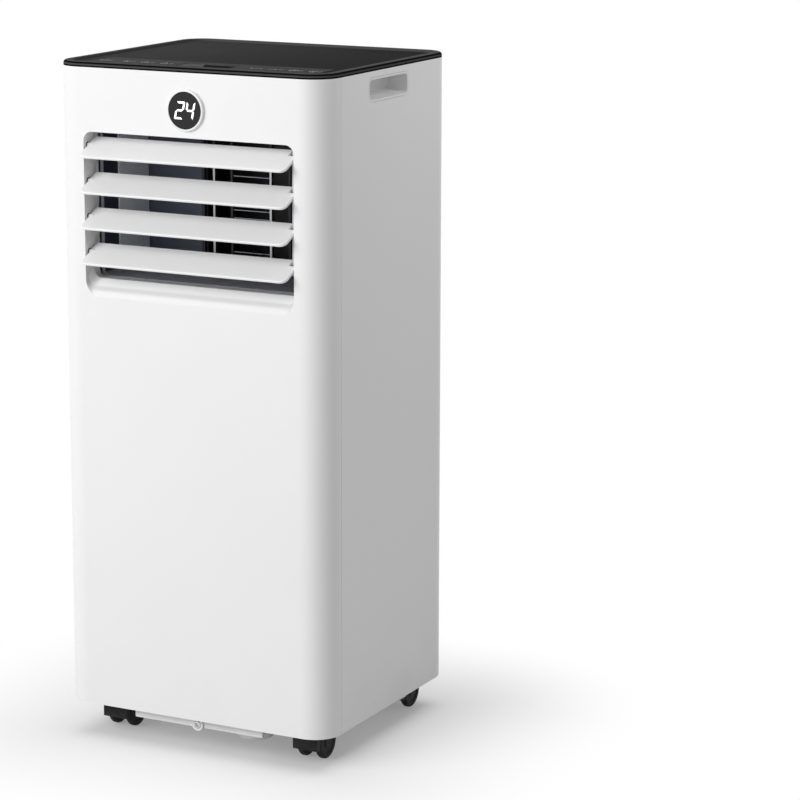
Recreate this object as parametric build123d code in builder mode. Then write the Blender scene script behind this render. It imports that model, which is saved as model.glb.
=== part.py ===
from build123d import *
import os
from math import cos, hypot, radians, sin

os.makedirs("parts", exist_ok=True)

# Portable air conditioner, in millimetres. +Z is up, the floor is at z = 0, the front faces -Y
# and +X is to the right of someone who looks at the front. The origin is the middle of the floor print.

# Cabinet
width = 304.0
depth = 268.0
corner_radius = 28.0
wall = 2.5
skirt_drop = 1.3
body_height = 648.0
front_wrap = 30.5
seam_gap = 0.5

# Gaps: fixed pieces that slip into each other, turning or sliding pins, and pieces pressed together
fit = 0.3
run = 0.08
snug = 0.03

# Top cover and its controls
lid_rise = 5.0
rim_width = 9.0
rim_round = 3.0
lid_sink = 2.2
groove_width = 1.2
groove_depth = 1.0
lip_height = 3.0
lip_wall = 2.0
strip_width = 254.0
strip_depth = 50.0
strip_setback = 17.0
strip_thick = 1.4
strip_proud = 0.2
strip_round = 2.0
indicator_width = 60.0
indicator_depth = 24.0
indicator_sink = 0.4
control_board_width = 220.0
control_board_depth = 40.0
board_thick = 1.6
board_drop = 11.0
board_post_radius = 3.0
board_post_inset = 8.0

# Round display
display_drop = 36.0
bezel_radius = 20.4
bezel_rise = 3.0
bezel_round = 1.2
bezel_neck_radius = 19.4
bezel_neck = 12.0
lens_radius = 18.2
lens_thick = 2.6
lens_setback = 0.6
ledge_radius = 16.0
display_board_size = 40.0

# Air outlet
window_width = 235.0
window_drop = 63.0
window_height = 164.0
window_radius = 9.0
scoop_radius = 12.0
scoop_slope = 55.0
scoop_reach = 60.0
sill_depth = 15.0
sill_web = 5.0
frame_depth = 24.0
frame_wall = 3.0
frame_head = 3.0
frame_corner = 6.0
duct_gap = 4.6
duct_lip = 2.1
duct_wall = 3.0
duct_depth = 88.0
mouth_left = -47.0
mouth_right = 110.0
mouth_margin = 8.0
guard_depth = 4.0
guard_frame = 3.0
guard_rib = 2.2
guard_wire = 1.2
guard_rib_places = [-35.8, -15.4, 29.3, 50.8]
guard_wire_drops = [51.4, 85.6, 93.7, 128.2]

# Louvre slats, their link and their swing drive
slat_count = 4
slat_pitch = 35.3
slat_front = 23.3
slat_back = 13.5
slat_thick = 3.0
slat_round = 1.2
slat_corner = 6.5
slat_side_gap = 2.0
slat_tilt = 25.0
slat_top_drop = 14.0
pivot_setback = 7.2
pivot_radius = 2.0
pivot_bite = 4.0
crank_back = 10.0
crank_below = 6.0
crank_pin_radius = 1.5
ear_radius = 3.2
ear_thick = 2.0
link_side_gap = 5.5
link_thick = 4.5
link_half = 3.5
notch_start = 3.0
notch_gap = 1.0
crank_axis_back = 14.0
crank_hub_radius = 4.5
crank_arm_thick = 2.0
drive_shaft_radius = 2.5
swing_motor_radius = 13.0
swing_motor_length = 18.0

# Side grips
grip_length = 85.0
grip_height = 24.0
grip_radius = 7.0
grip_depth = 22.0
grip_wall = 2.0
grip_drop = 6.0
grip_shift = -4.5
grip_floor_rise = 4.0

# Base pan
base_wall = 2.5
sump_drop = 8.0
deck_gap = 12.7
rim_height = 25.0
sump_inset = 10.0
bulge_x = 49.5
bulge_setback = 40.0
bulge_radius = 21.0
bulge_drop = 12.6
bulge_round = 9.0
lip_drop = 2.0
foot_boss_radius = 6.4
foot_boss_drop = 5.2
foot_boss_proud = 2.0

# Casters
caster_inset_x = 41.0
caster_inset_y = 41.0
caster_trail = 13.0
wheel_radius = 17.0
wheel_width = 7.0
wheel_round = 2.5
wheel_dish = 0.8
wheel_dish_radius = 11.5
wheel_hub_radius = 6.0
web_half = 6.0
wheel_side_gap = 0.8
hood_gap = 0.9
hood_shell = 2.4
hood_nose = 3.7
hood_low = 13.0
hood_round = 1.5
axle_radius = 3.0
stem_radius = 5.5
stem_length = 26.0
stem_collar_radius = 9.0
swivel_gap = 0.3
sleeve_wall = 2.0
boss_wall = 3.5
boss_height = 32.0
well_gap = 1.2

# Back panel openings
filter_width = 224.0
filter_height = 270.0
filter_drop = 39.0
filter_thick = 3.0
filter_radius = 6.0
filter_lip = 8.0
filter_slot_rows = 19
filter_slot_height = 6.0
filter_slot_margin = 12.0
screen_frame = 6.0
screen_thick = 4.0
screen_sheet = 0.8
screen_rib = 2.0
screen_ribs = 4
pull_width = 50.0
pull_height = 9.0
intake_rows = 8
intake_columns = 2
intake_slot_width = 98.0
intake_slot_height = 5.0
intake_pitch = 11.5
intake_column_pitch = 112.0
exhaust_x = 45.0
exhaust_radius = 65.0
exhaust_wall = 3.0
exhaust_inside = 12.0
exhaust_flange = 148.0
exhaust_flange_thick = 4.0
exhaust_flange_round = 8.0
gland_x = -95.0
gland_rise = 179.0
gland_bore = 4.1
gland_wall = 3.0
gland_flange = 11.0
gland_flange_thick = 3.0
gland_inside = 6.0
gland_reach = 9.0
drain_x = 40.0
drain_rise = 11.5
drain_radius = 9.0
drain_bore = 6.0
drain_reach = 5.0
drain_notch = 3.0
plug_head_radius = 10.5
plug_head = 3.0
plug_length = 12.0
upper_drain_x = -80.0
upper_drain_rise = 9.0
upper_drain_radius = 8.0
upper_drain_bore = 5.5
upper_drain_reach = 9.0
cap_wall = 2.4
cap_length = 7.0
screw_head_radius = 4.0
screw_head = 2.0
screw_radius = 1.8
screw_length = 10.0
screw_spread = 60.0

# Cold half
tray_rise = 304.0
tray_plate = 3.0
tray_rim = 18.0
pipe_notch_width = 23.0
pipe_notch_front = 44.0
pipe_notch_back = 120.0
evaporator_setback = 34.0
evaporator_thick = 28.0
evaporator_drop = 74.0
coil_inset = 34.0
tube_radius = 4.5
tube_stub = 7.0
tube_pitch = 25.0
upper_fan_x = -35.0
upper_fan_rise = 82.0
upper_scroll_radius = 70.0
upper_scroll_depth = 72.0
throat_across = 0.6
throat_below = 0.8
scroll_wall = 2.5
upper_inlet_radius = 46.0
upper_wheel_radius = 58.0
upper_wheel_width = 50.0
wheel_gap = 8.0
fan_blades = 30
blade_chord = 11.0
blade_thick = 1.6
blade_angle = 35.0
fan_disc = 2.0
fan_ring = 3.0
fan_hub_radius = 11.0
fan_hub_length = 24.0
shaft_radius = 4.0
shaft_gap = 0.6
motor_shaft_depth = 20.0
upper_motor_radius = 38.0
upper_motor_length = 46.0
motor_round = 5.0
scroll_foot_width = 14.0
scroll_foot_spread = 40.0
electrical_box_x = 80.0
electrical_box_width = 118.0
electrical_box_depth = 52.0
electrical_box_height = 105.0
electrical_box_setback = 9.0
electrical_box_round = 3.0

# Hot half
condenser_setback = 13.0
condenser_thick = 24.0
condenser_height = 100.0
lower_fan_x = 50.0
lower_fan_rise = 38.0
lower_scroll_radius = 58.0
lower_scroll_depth = 62.0
lower_inlet_radius = 40.0
lower_wheel_radius = 50.0
lower_wheel_width = 42.0
lower_motor_radius = 38.0
lower_motor_length = 50.0
exhaust_duct_half = 73.0
exhaust_duct_wall = 2.0
compressor_x = -78.0
compressor_radius = 50.0
compressor_foot = 14.0
compressor_plate_radius = 44.0
compressor_plate = 3.0
compressor_neck = 9.0
compressor_neck_radius = 40.0
compressor_height = 180.0
compressor_dome = 20.0
foot_circle = 34.0
foot_radius = 9.0
foot_bore = 4.0
foot_count = 3
accumulator_radius = 20.0
accumulator_gap = 5.0
accumulator_rise = 54.0
accumulator_height = 110.0
accumulator_dome = 8.0
strap_width = 14.0
strap_height = 30.0
pipe_run_inset = 16.0
pipe_bend = 10.8
pipe_rise = 32.0
pipe_clear = 12.0
pipe_notch_clear = 6.0
discharge_radius = 4.0
suction_radius = 5.0
liquid_radius = 3.0
drier_radius = 9.0
drier_length = 55.0
drier_taper = 4.0
splash_x = -12.0
splash_setback = 58.0
splash_wheel_radius = 20.0
splash_wheel_thick = 6.0
splash_rise = 25.5
splash_paddles = 10
splash_hub_radius = 7.0
splash_motor_radius = 14.0
splash_motor_length = 18.0
splash_shaft = 2.5
paddle_thick = 2.0
splash_gap = 1.0
float_x = -50.0
float_setback = 49.0
float_radius = 12.0
float_height = 14.0
float_stem_radius = 3.0
float_stem = 31.0
float_low = 1.5
float_round = 2.0

# Places that follow from the sizes above
hood_radius = wheel_radius + hood_gap + hood_shell
hood_half = web_half + wheel_side_gap + wheel_width
hood_front = hood_radius - caster_trail + hood_nose
hood_top = wheel_radius + hood_radius
body_bottom = hood_top - skirt_drop
body_top = body_bottom + body_height
front_y = -depth / 2
back_y = depth / 2
side_x = width / 2
seam_y = front_y + front_wrap
inner_front = front_y + wall
inner_back = back_y - wall
inner_side = side_x - wall
inner_radius = corner_radius - wall
lid_top = body_top + lid_rise
panel_z = lid_top - lid_sink
window_top = body_top - window_drop
window_bottom = window_top - window_height
window_half = window_width / 2
frame_half = window_half + frame_wall
scoop_turn = radians(scoop_slope)
scoop_end_y = front_y + scoop_radius * (1 - cos(scoop_turn))
scoop_end_z = window_bottom + scoop_radius * sin(scoop_turn)
sill_y = front_y + sill_depth
sill_z = scoop_end_z + (sill_y - scoop_end_y) * cos(scoop_turn) / sin(scoop_turn)
scoop_top = sill_z + window_radius
frame_back = inner_front + frame_depth
frame_top = window_top + frame_head
duct_front = frame_back + duct_gap
duct_back = duct_front + duct_depth
duct_half = window_half - duct_lip
pivot_y = front_y + pivot_setback
pivot_zs = [window_top - slat_top_drop - slat_pitch * i for i in range(slat_count)]
slat_half = window_half - slat_side_gap
tilt = radians(slat_tilt)
slat_tip = (slat_front - slat_round) * cos(tilt) + (slat_thick / 2 - slat_round) * sin(tilt) + slat_round
slat_reach = slat_tip - pivot_setback
link_x = window_half - link_side_gap - link_thick
crank_dy = crank_back * cos(tilt) + crank_below * sin(tilt)
crank_dz = crank_back * sin(tilt) - crank_below * cos(tilt)
drive_y = pivot_y + crank_axis_back
drive_z = (pivot_zs[1] + pivot_zs[2]) / 2
display_z = body_top - display_drop
base_half_x = inner_side - fit
base_half_y = inner_back - fit
stem_x = side_x - caster_inset_x
stem_y = depth / 2 - caster_inset_y
well_reach = hypot(caster_trail + hood_radius, hood_half) + well_gap
arm_x = stem_x - well_reach
arm_y = stem_y - well_reach
sump_x = side_x - sump_inset
sump_y = depth / 2 - sump_inset
sump_bottom = body_bottom - sump_drop
sump_floor = sump_bottom + base_wall
boss_y = -sump_y - foot_boss_proud
boss_z = sump_bottom - foot_boss_drop + foot_boss_radius
deck_z = hood_top + deck_gap
deck_top = deck_z + base_wall
boss_top = deck_z + boss_height
boss_radius = stem_radius + run + sleeve_wall + boss_wall
exhaust_reach = slat_reach
condenser_back = back_y - condenser_setback
condenser_front = condenser_back - condenser_thick
condenser_top = boss_top + condenser_height
coil_half = side_x - coil_inset
exhaust_z = condenser_top + exhaust_duct_half
gland_z = body_bottom + gland_rise
tray_z = body_bottom + tray_rise
tray_top = tray_z + tray_plate
evaporator_back = back_y - evaporator_setback
evaporator_front = evaporator_back - evaporator_thick
evaporator_top = body_top - evaporator_drop
upper_fan_z = tray_top + upper_fan_rise
mouth_low = sill_z + mouth_margin
mouth_high = frame_top - mouth_margin
upper_scroll_front = duct_back
upper_scroll_back = upper_scroll_front + upper_scroll_depth
lower_fan_z = boss_top + lower_fan_rise
lower_scroll_back = condenser_front
lower_scroll_front = lower_scroll_back - lower_scroll_depth
exhaust_duct_bottom = condenser_top
exhaust_duct_top = exhaust_z + exhaust_duct_half
pipe_x = -(side_x - pipe_run_inset)
pump_z = sump_floor + compressor_foot
accumulator_low = body_bottom + accumulator_rise
pump_body_z = pump_z + compressor_plate + compressor_neck
pump_top = pump_body_z + compressor_height
splash_y = back_y - splash_setback
splash_z = sump_floor + splash_rise
float_y = back_y - float_setback
filter_top = body_top - filter_drop
filter_z = filter_top - filter_height / 2
grip_z = body_top - grip_drop
grip_y = grip_shift

TURNS = {"X": (0, 90, 0), "Y": (-90, 0, 0), "Z": (0, 0, 0)}


def facing_front(y):
    """Plane across the cabinet at a depth: its x is X, its y is Z and it looks to the front."""
    return Plane.XZ.offset(-y)


def across(x):
    """Plane from front to back: its x is Y, its y is Z and it looks to +X."""
    return Plane.YZ.offset(x)


def level(z):
    return Plane.XY.offset(z)


def slab(x, y, z, mode=Mode.ADD):
    """Box between a low and a high value along each axis."""
    with Locations(((x[0] + x[1]) / 2, (y[0] + y[1]) / 2, (z[0] + z[1]) / 2)):
        Box(x[1] - x[0], y[1] - y[0], z[1] - z[0], mode=mode)


def rod(axis, start, radius, length, mode=Mode.ADD):
    """Cylinder that starts at a point and runs along an axis."""
    with Locations(Location(start, TURNS[axis])):
        Cylinder(radius, length, align=(Align.CENTER, Align.CENTER, Align.MIN), mode=mode)


def save(piece, name):
    piece.part.label = name
    export_step(piece.part, f"parts/{name}.step")


# Space that the air outlet takes out of the front panel: a rounded window over a scooped sill
with BuildPart() as outlet_space:
    with BuildSketch(facing_front(front_y - wall)):
        with Locations((0, (window_top + scoop_top) / 2)):
            window = Rectangle(window_width, window_top - scoop_top)
        fillet(window.vertices().group_by(Axis.Y)[-1], window_radius)
    extrude(amount=-(sill_depth + 3 * wall))
    with BuildLine(Plane.YZ) as scoop_path:
        scoop_arc = CenterArc(
            (front_y + scoop_radius, window_bottom), scoop_radius, 180, -scoop_slope
        )
        Line(
            scoop_arc @ 1,
            (sill_y + sill_web, sill_z + sill_web * cos(scoop_turn) / sin(scoop_turn)),
        )
    with BuildSketch(level(window_bottom)):
        with Locations((0, front_y - scoop_reach / 2)):
            scoop = Rectangle(window_width, scoop_reach)
        fillet(scoop.vertices().group_by(Axis.Y)[-1], window_radius)
    sweep(path=scoop_path.line)

# Front panel: the front face, both front corners and the sill of the outlet
with BuildPart() as front_panel:
    with BuildSketch(level(body_bottom)):
        RectangleRounded(width, depth, corner_radius)
        RectangleRounded(width - 2 * wall, depth - 2 * wall, inner_radius, mode=Mode.SUBTRACT)
    extrude(amount=body_height)
    slab((-width, width), (seam_y, depth), (0, 2 * body_top), mode=Mode.SUBTRACT)
    for half, sill_top in ((window_half, scoop_top), (frame_half, sill_z - frame_wall - fit)):
        with BuildSketch(across(-half)):
            Polygon(
                (front_y + wall / 2, window_bottom - sill_web),
                (sill_y, sill_z - sill_web),
                (sill_y, sill_top),
                (front_y + wall / 2, sill_top),
                align=None,
            )
        extrude(amount=2 * half)
    add(outlet_space.part, mode=Mode.SUBTRACT)
    rod("Y", (0, front_y - wall, display_z), bezel_neck_radius + fit, 3 * wall, mode=Mode.SUBTRACT)
save(front_panel, "front_panel")

# Rear cabinet: both sides and the back, with its grilles and ports
screw_rows = [deck_z + rim_height / 2, tray_top + tray_rim / 2]
screw_places = [(x, z) for z in screw_rows for x in (-screw_spread, screw_spread)]
with BuildPart() as rear_cabinet:
    with BuildSketch(level(body_bottom)):
        RectangleRounded(width, depth, corner_radius)
        RectangleRounded(width - 2 * wall, depth - 2 * wall, inner_radius, mode=Mode.SUBTRACT)
    extrude(amount=body_height)
    slab((-width, width), (-depth, seam_y + seam_gap), (0, 2 * body_top), mode=Mode.SUBTRACT)
    with BuildSketch(across(-width)):
        with Locations((grip_y, grip_z - grip_height / 2)):
            RectangleRounded(grip_length, grip_height, grip_radius)
    extrude(amount=2 * width, mode=Mode.SUBTRACT)
    with BuildSketch(facing_front(inner_back - wall)):
        with Locations((0, filter_z)):
            RectangleRounded(filter_width + 2 * fit, filter_height + 2 * fit, filter_radius + fit)
        with Locations((0, boss_top + condenser_height / 2)):
            with GridLocations(intake_column_pitch, intake_pitch, intake_columns, intake_rows):
                SlotOverall(intake_slot_width, intake_slot_height)
        with Locations((exhaust_x, exhaust_z)):
            Circle(exhaust_radius + exhaust_wall + fit)
        with Locations((gland_x, gland_z)):
            Circle(gland_bore + gland_wall + fit)
        with Locations((upper_drain_x, tray_top + upper_drain_rise)):
            Circle(upper_drain_radius + fit)
        with Locations(*screw_places):
            Circle(screw_radius + fit)
    extrude(amount=-depth, mode=Mode.SUBTRACT)
    notch_top = sump_floor + drain_rise + drain_radius + drain_notch
    notch_half = drain_radius + drain_notch
    slab(
        (drain_x - notch_half, drain_x + notch_half),
        (inner_back - wall, depth),
        (0, notch_top),
        mode=Mode.SUBTRACT,
    )
save(rear_cabinet, "rear_cabinet")

# Side grips: open cups let into the cabinet's sides, each with a floor that slopes outwards
for side, name in ((-1, "side_grip_left"), (1, "side_grip_right")):
    with BuildPart() as side_grip:
        with BuildSketch(across(side * side_x)):
            with Locations((grip_y, grip_z - grip_height / 2)):
                RectangleRounded(grip_length - 2 * fit, grip_height - 2 * fit, grip_radius - fit)
        extrude(amount=-side * (grip_depth + grip_wall))
        with BuildSketch(across(side * side_x)):
            with Locations((grip_y, grip_z - grip_height / 2)):
                RectangleRounded(
                    grip_length - 2 * fit - 2 * grip_wall,
                    grip_height - 2 * fit - 2 * grip_wall,
                    grip_radius - fit - grip_wall,
                )
        with BuildSketch(across(side * (side_x - grip_depth))):
            with Locations((grip_y, grip_z - grip_height / 2 + grip_floor_rise / 2)):
                RectangleRounded(
                    grip_length - 2 * fit - 2 * grip_wall,
                    grip_height - 2 * fit - 2 * grip_wall - grip_floor_rise,
                    grip_radius - fit - grip_wall,
                )
        loft(mode=Mode.SUBTRACT)
    save(side_grip, name)

# Top cover: a rounded rim round a sunk panel, with a pocket for the touch strip
strip_y = front_y + strip_setback + strip_depth / 2
pocket_z = panel_z - strip_thick + strip_proud
board_z = body_top - board_drop
with BuildPart() as top_cover:
    with BuildSketch(level(body_top)):
        RectangleRounded(width, depth, corner_radius)
    extrude(amount=lid_rise)
    fillet(top_cover.faces().sort_by(Axis.Z)[-1].edges(), rim_round)
    with BuildSketch(level(lid_top)):
        RectangleRounded(width - 2 * rim_width, depth - 2 * rim_width, corner_radius - rim_width)
    extrude(amount=-lid_sink, mode=Mode.SUBTRACT)
    groove_out = rim_width + groove_width
    with BuildSketch(level(panel_z)):
        RectangleRounded(width - 2 * rim_width, depth - 2 * rim_width, corner_radius - rim_width)
        RectangleRounded(
            width - 2 * groove_out, depth - 2 * groove_out, corner_radius - groove_out, mode=Mode.SUBTRACT
        )
    extrude(amount=-groove_depth, mode=Mode.SUBTRACT)
    with BuildSketch(level(body_top - lip_height)):
        RectangleRounded(2 * base_half_x, 2 * base_half_y, inner_radius - fit)
        RectangleRounded(
            2 * (base_half_x - lip_wall),
            2 * (base_half_y - lip_wall),
            inner_radius - fit - lip_wall,
            mode=Mode.SUBTRACT,
        )
    extrude(amount=lip_height)
    with BuildSketch(level(panel_z)):
        with Locations((0, strip_y)):
            Rectangle(strip_width + 2 * fit, strip_depth + 2 * fit)
    extrude(amount=-(panel_z - pocket_z), mode=Mode.SUBTRACT)
    with BuildSketch(level(board_z)):
        with Locations((0, strip_y)):
            with GridLocations(
                control_board_width - 2 * board_post_inset, control_board_depth - 2 * board_post_inset, 2, 2
            ):
                Circle(board_post_radius)
    extrude(amount=board_drop)
save(top_cover, "top_cover")

with BuildPart() as control_strip:
    with BuildSketch(level(pocket_z)):
        with Locations((0, strip_y)):
            RectangleRounded(strip_width, strip_depth, strip_round)
            Rectangle(indicator_width + 2 * run, indicator_depth + 2 * run, mode=Mode.SUBTRACT)
    extrude(amount=strip_thick)
save(control_strip, "control_strip")

with BuildPart() as indicator_window:
    with BuildSketch(level(pocket_z)):
        with Locations((0, strip_y)):
            Rectangle(indicator_width, indicator_depth)
    extrude(amount=strip_thick - indicator_sink)
save(indicator_window, "indicator_window")

with BuildPart() as control_board:
    with BuildSketch(level(board_z)):
        with Locations((0, strip_y)):
            Rectangle(control_board_width, control_board_depth)
    extrude(amount=-board_thick)
save(control_board, "control_board")

# Display: a bezel ring on the front face, its lens and the board behind it
bezel_front = front_y - bezel_rise
lens_front = bezel_front + lens_setback
with BuildPart() as display_bezel:
    rod("Y", (0, bezel_front, display_z), bezel_radius, bezel_rise)
    fillet(display_bezel.edges().sort_by(Axis.Y)[0], bezel_round)
    rod("Y", (0, front_y, display_z), bezel_neck_radius, bezel_neck)
    rod("Y", (0, bezel_front, display_z), ledge_radius, bezel_rise + bezel_neck, mode=Mode.SUBTRACT)
    rod(
        "Y", (0, bezel_front, display_z), lens_radius + run, lens_setback + lens_thick, mode=Mode.SUBTRACT
    )
save(display_bezel, "display_bezel")

with BuildPart() as display_lens:
    rod("Y", (0, lens_front, display_z), lens_radius, lens_thick)
save(display_lens, "display_lens")

with BuildPart() as display_board:
    half = display_board_size / 2
    board_front = front_y + bezel_neck
    slab(
        (-half, half), (board_front, board_front + board_thick), (display_z - half, display_z + half)
    )
save(display_board, "display_board")

# Louvre frame: a ring behind the window, with a bearing hole in each cheek for every slat
with BuildPart() as louvre_frame:
    slab((-frame_half, frame_half), (inner_front, frame_back), (sill_z - frame_wall, frame_top + frame_wall))
    with BuildSketch(facing_front(-depth)):
        with Locations((0, (sill_z + frame_top) / 2)):
            RectangleRounded(window_width, frame_top - sill_z, frame_corner)
    extrude(amount=-2 * depth, mode=Mode.SUBTRACT)
    slab(
        (-window_half - fit, window_half + fit),
        (-depth, sill_y + fit),
        (0, scoop_top + fit),
        mode=Mode.SUBTRACT,
    )
    for z in pivot_zs:
        rod("X", (-width, pivot_y, z), pivot_radius + run, 2 * width, mode=Mode.SUBTRACT)
    rod("X", (0, drive_y, drive_z), drive_shaft_radius + run, width, mode=Mode.SUBTRACT)
save(louvre_frame, "louvre_frame")

# Slats: flat blades with round pins, a notch for the link and an ear that carries the link's pin
slat_turn = (slat_tilt, 0, 0)
for number, z in enumerate(pivot_zs, start=1):
    with BuildPart() as louvre:
        blade_plane = Plane(Location((0, pivot_y, z), slat_turn))
        with BuildSketch(blade_plane.offset(-slat_thick / 2)):
            with Locations((0, (slat_back - slat_front) / 2)):
                blade = Rectangle(2 * slat_half, slat_back + slat_front)
            fillet(blade.vertices().group_by(Axis.Y)[0], slat_corner)
            with Locations((link_x + link_thick / 2, (notch_start + 2 * slat_back) / 2)):
                Rectangle(
                    link_thick + 2 * notch_gap, 2 * slat_back - notch_start, mode=Mode.SUBTRACT
                )
        extrude(amount=slat_thick)
        ear_x = link_x + link_thick + notch_gap
        ear_plane = Plane((ear_x, pivot_y, z), x_dir=(0, cos(tilt), sin(tilt)), z_dir=(1, 0, 0))
        with BuildSketch(ear_plane):
            Polygon(
                (crank_back - ear_radius, 0),
                (crank_back - ear_radius, -crank_below),
                (crank_back + ear_radius, -crank_below),
                (crank_back + ear_radius, 0),
                align=None,
            )
            with Locations((crank_back, -crank_below)):
                Circle(ear_radius)
        extrude(amount=ear_thick)
        pin_start = (link_x, pivot_y + crank_dy, z + crank_dz)
        rod("X", pin_start, crank_pin_radius, link_thick + notch_gap + ear_thick / 2)
        for start in (-frame_half + fit, slat_half - pivot_bite):
            rod("X", (start, pivot_y, z), pivot_radius, frame_half - fit - slat_half + pivot_bite)
        blade_edges = louvre.edges().filter_by(Axis.X).filter_by(
            lambda edge: edge.length > slat_half
        )
        fillet(blade_edges.sort_by(Axis.Y)[:2], slat_round)
    save(louvre, f"louvre_{number}")

# Link: an upright bar that joins the slats' pins, with an arm to the pin of the swing crank
link_y = pivot_y + crank_dy
link_low = pivot_zs[-1] + crank_dz - 2 * link_half
link_high = pivot_zs[0] + crank_dz + 2 * link_half
drive_pin_y = drive_y + crank_dy
drive_pin_z = drive_z + crank_dz
with BuildPart() as louvre_link:
    slab(
        (link_x, link_x + link_thick), (link_y - link_half, link_y + link_half), (link_low, link_high)
    )
    slab(
        (link_x, link_x + link_thick),
        (link_y, drive_pin_y + link_half),
        (drive_pin_z - link_half, drive_pin_z + link_half),
    )
    fillet(louvre_link.edges().filter_by(Axis.X).sort_by(Axis.Y)[-2:], link_half / 2)
    for z in pivot_zs:
        rod(
            "X", (0, link_y, z + crank_dz), crank_pin_radius + 2 * run, width, mode=Mode.SUBTRACT
        )
    rod("X", (0, drive_pin_y, drive_pin_z), crank_pin_radius + 2 * run, width, mode=Mode.SUBTRACT)
save(louvre_link, "louvre_link")

# Swing drive: a geared motor on the frame's right cheek and the crank that it turns
crank_x = link_x + link_thick + notch_gap
with BuildPart() as swing_crank:
    with BuildSketch(across(crank_x)):
        with Locations((drive_y, drive_z)):
            Circle(crank_hub_radius)
        with Locations((drive_pin_y, drive_pin_z)):
            Circle(ear_radius)
        with Locations(((drive_y + drive_pin_y) / 2, (drive_z + drive_pin_z) / 2)):
            Rectangle(drive_pin_y - drive_y, 2 * ear_radius - 1)
    extrude(amount=crank_arm_thick)
    rod("X", (link_x, drive_pin_y, drive_pin_z), crank_pin_radius, crank_x - link_x + crank_arm_thick / 2)
    rod(
        "X",
        (crank_x, drive_y, drive_z),
        drive_shaft_radius,
        frame_half - crank_x + swing_motor_length / 2,
    )
save(swing_crank, "swing_crank")

with BuildPart() as swing_motor:
    rod("X", (frame_half, drive_y, drive_z), swing_motor_radius, swing_motor_length)
    rod(
        "X",
        (frame_half, drive_y, drive_z),
        drive_shaft_radius + run,
        swing_motor_length - wall,
        mode=Mode.SUBTRACT,
    )
save(swing_motor, "swing_motor")

# Outlet duct: a dark box behind the frame, open to the front, with the blower's mouth in its back
duct_low = sill_z - duct_wall
duct_high = frame_top + duct_wall
with BuildPart() as outlet_duct:
    slab((-duct_half - duct_wall, duct_half + duct_wall), (duct_front, duct_back), (duct_low, duct_high))
    with BuildSketch(facing_front(duct_back - duct_wall)):
        with Locations((0, (sill_z + frame_top) / 2)):
            RectangleRounded(2 * duct_half, frame_top - sill_z, frame_corner)
    extrude(amount=depth, mode=Mode.SUBTRACT)
    slab((mouth_left, mouth_right), (-depth, depth), (mouth_low, mouth_high), mode=Mode.SUBTRACT)
save(outlet_duct, "outlet_duct")

# Guard: a frame of ribs and wires in the blower's mouth
with BuildPart() as outlet_guard:
    guard_y = (duct_back - duct_wall - guard_depth, duct_back - duct_wall)
    guard_x = (mouth_left - guard_frame, mouth_right + guard_frame)
    guard_z = (mouth_low - guard_frame, mouth_high + guard_frame)
    slab(guard_x, guard_y, guard_z)
    slab((mouth_left, mouth_right), (-depth, depth), (mouth_low, mouth_high), mode=Mode.SUBTRACT)
    for x in guard_rib_places:
        slab((x - guard_rib / 2, x + guard_rib / 2), guard_y, guard_z)
    wire_start, wire_end = guard_rib_places[1:3]
    for drop in guard_wire_drops:
        rod("X", (wire_start, sum(guard_y) / 2, window_top - drop), guard_wire / 2, wire_end - wire_start)
save(outlet_guard, "outlet_guard")

# Base pan: a cross-shaped sump between the four caster wells, with a rim that the cabinet slips over
with BuildPart() as bulge_hollow:
    rod(
        "Z",
        (bulge_x, front_y + bulge_setback, sump_floor - bulge_drop),
        bulge_radius - base_wall,
        bulge_drop,
    )
    fillet(bulge_hollow.edges().sort_by(Axis.Z)[0], bulge_round - base_wall)

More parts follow.
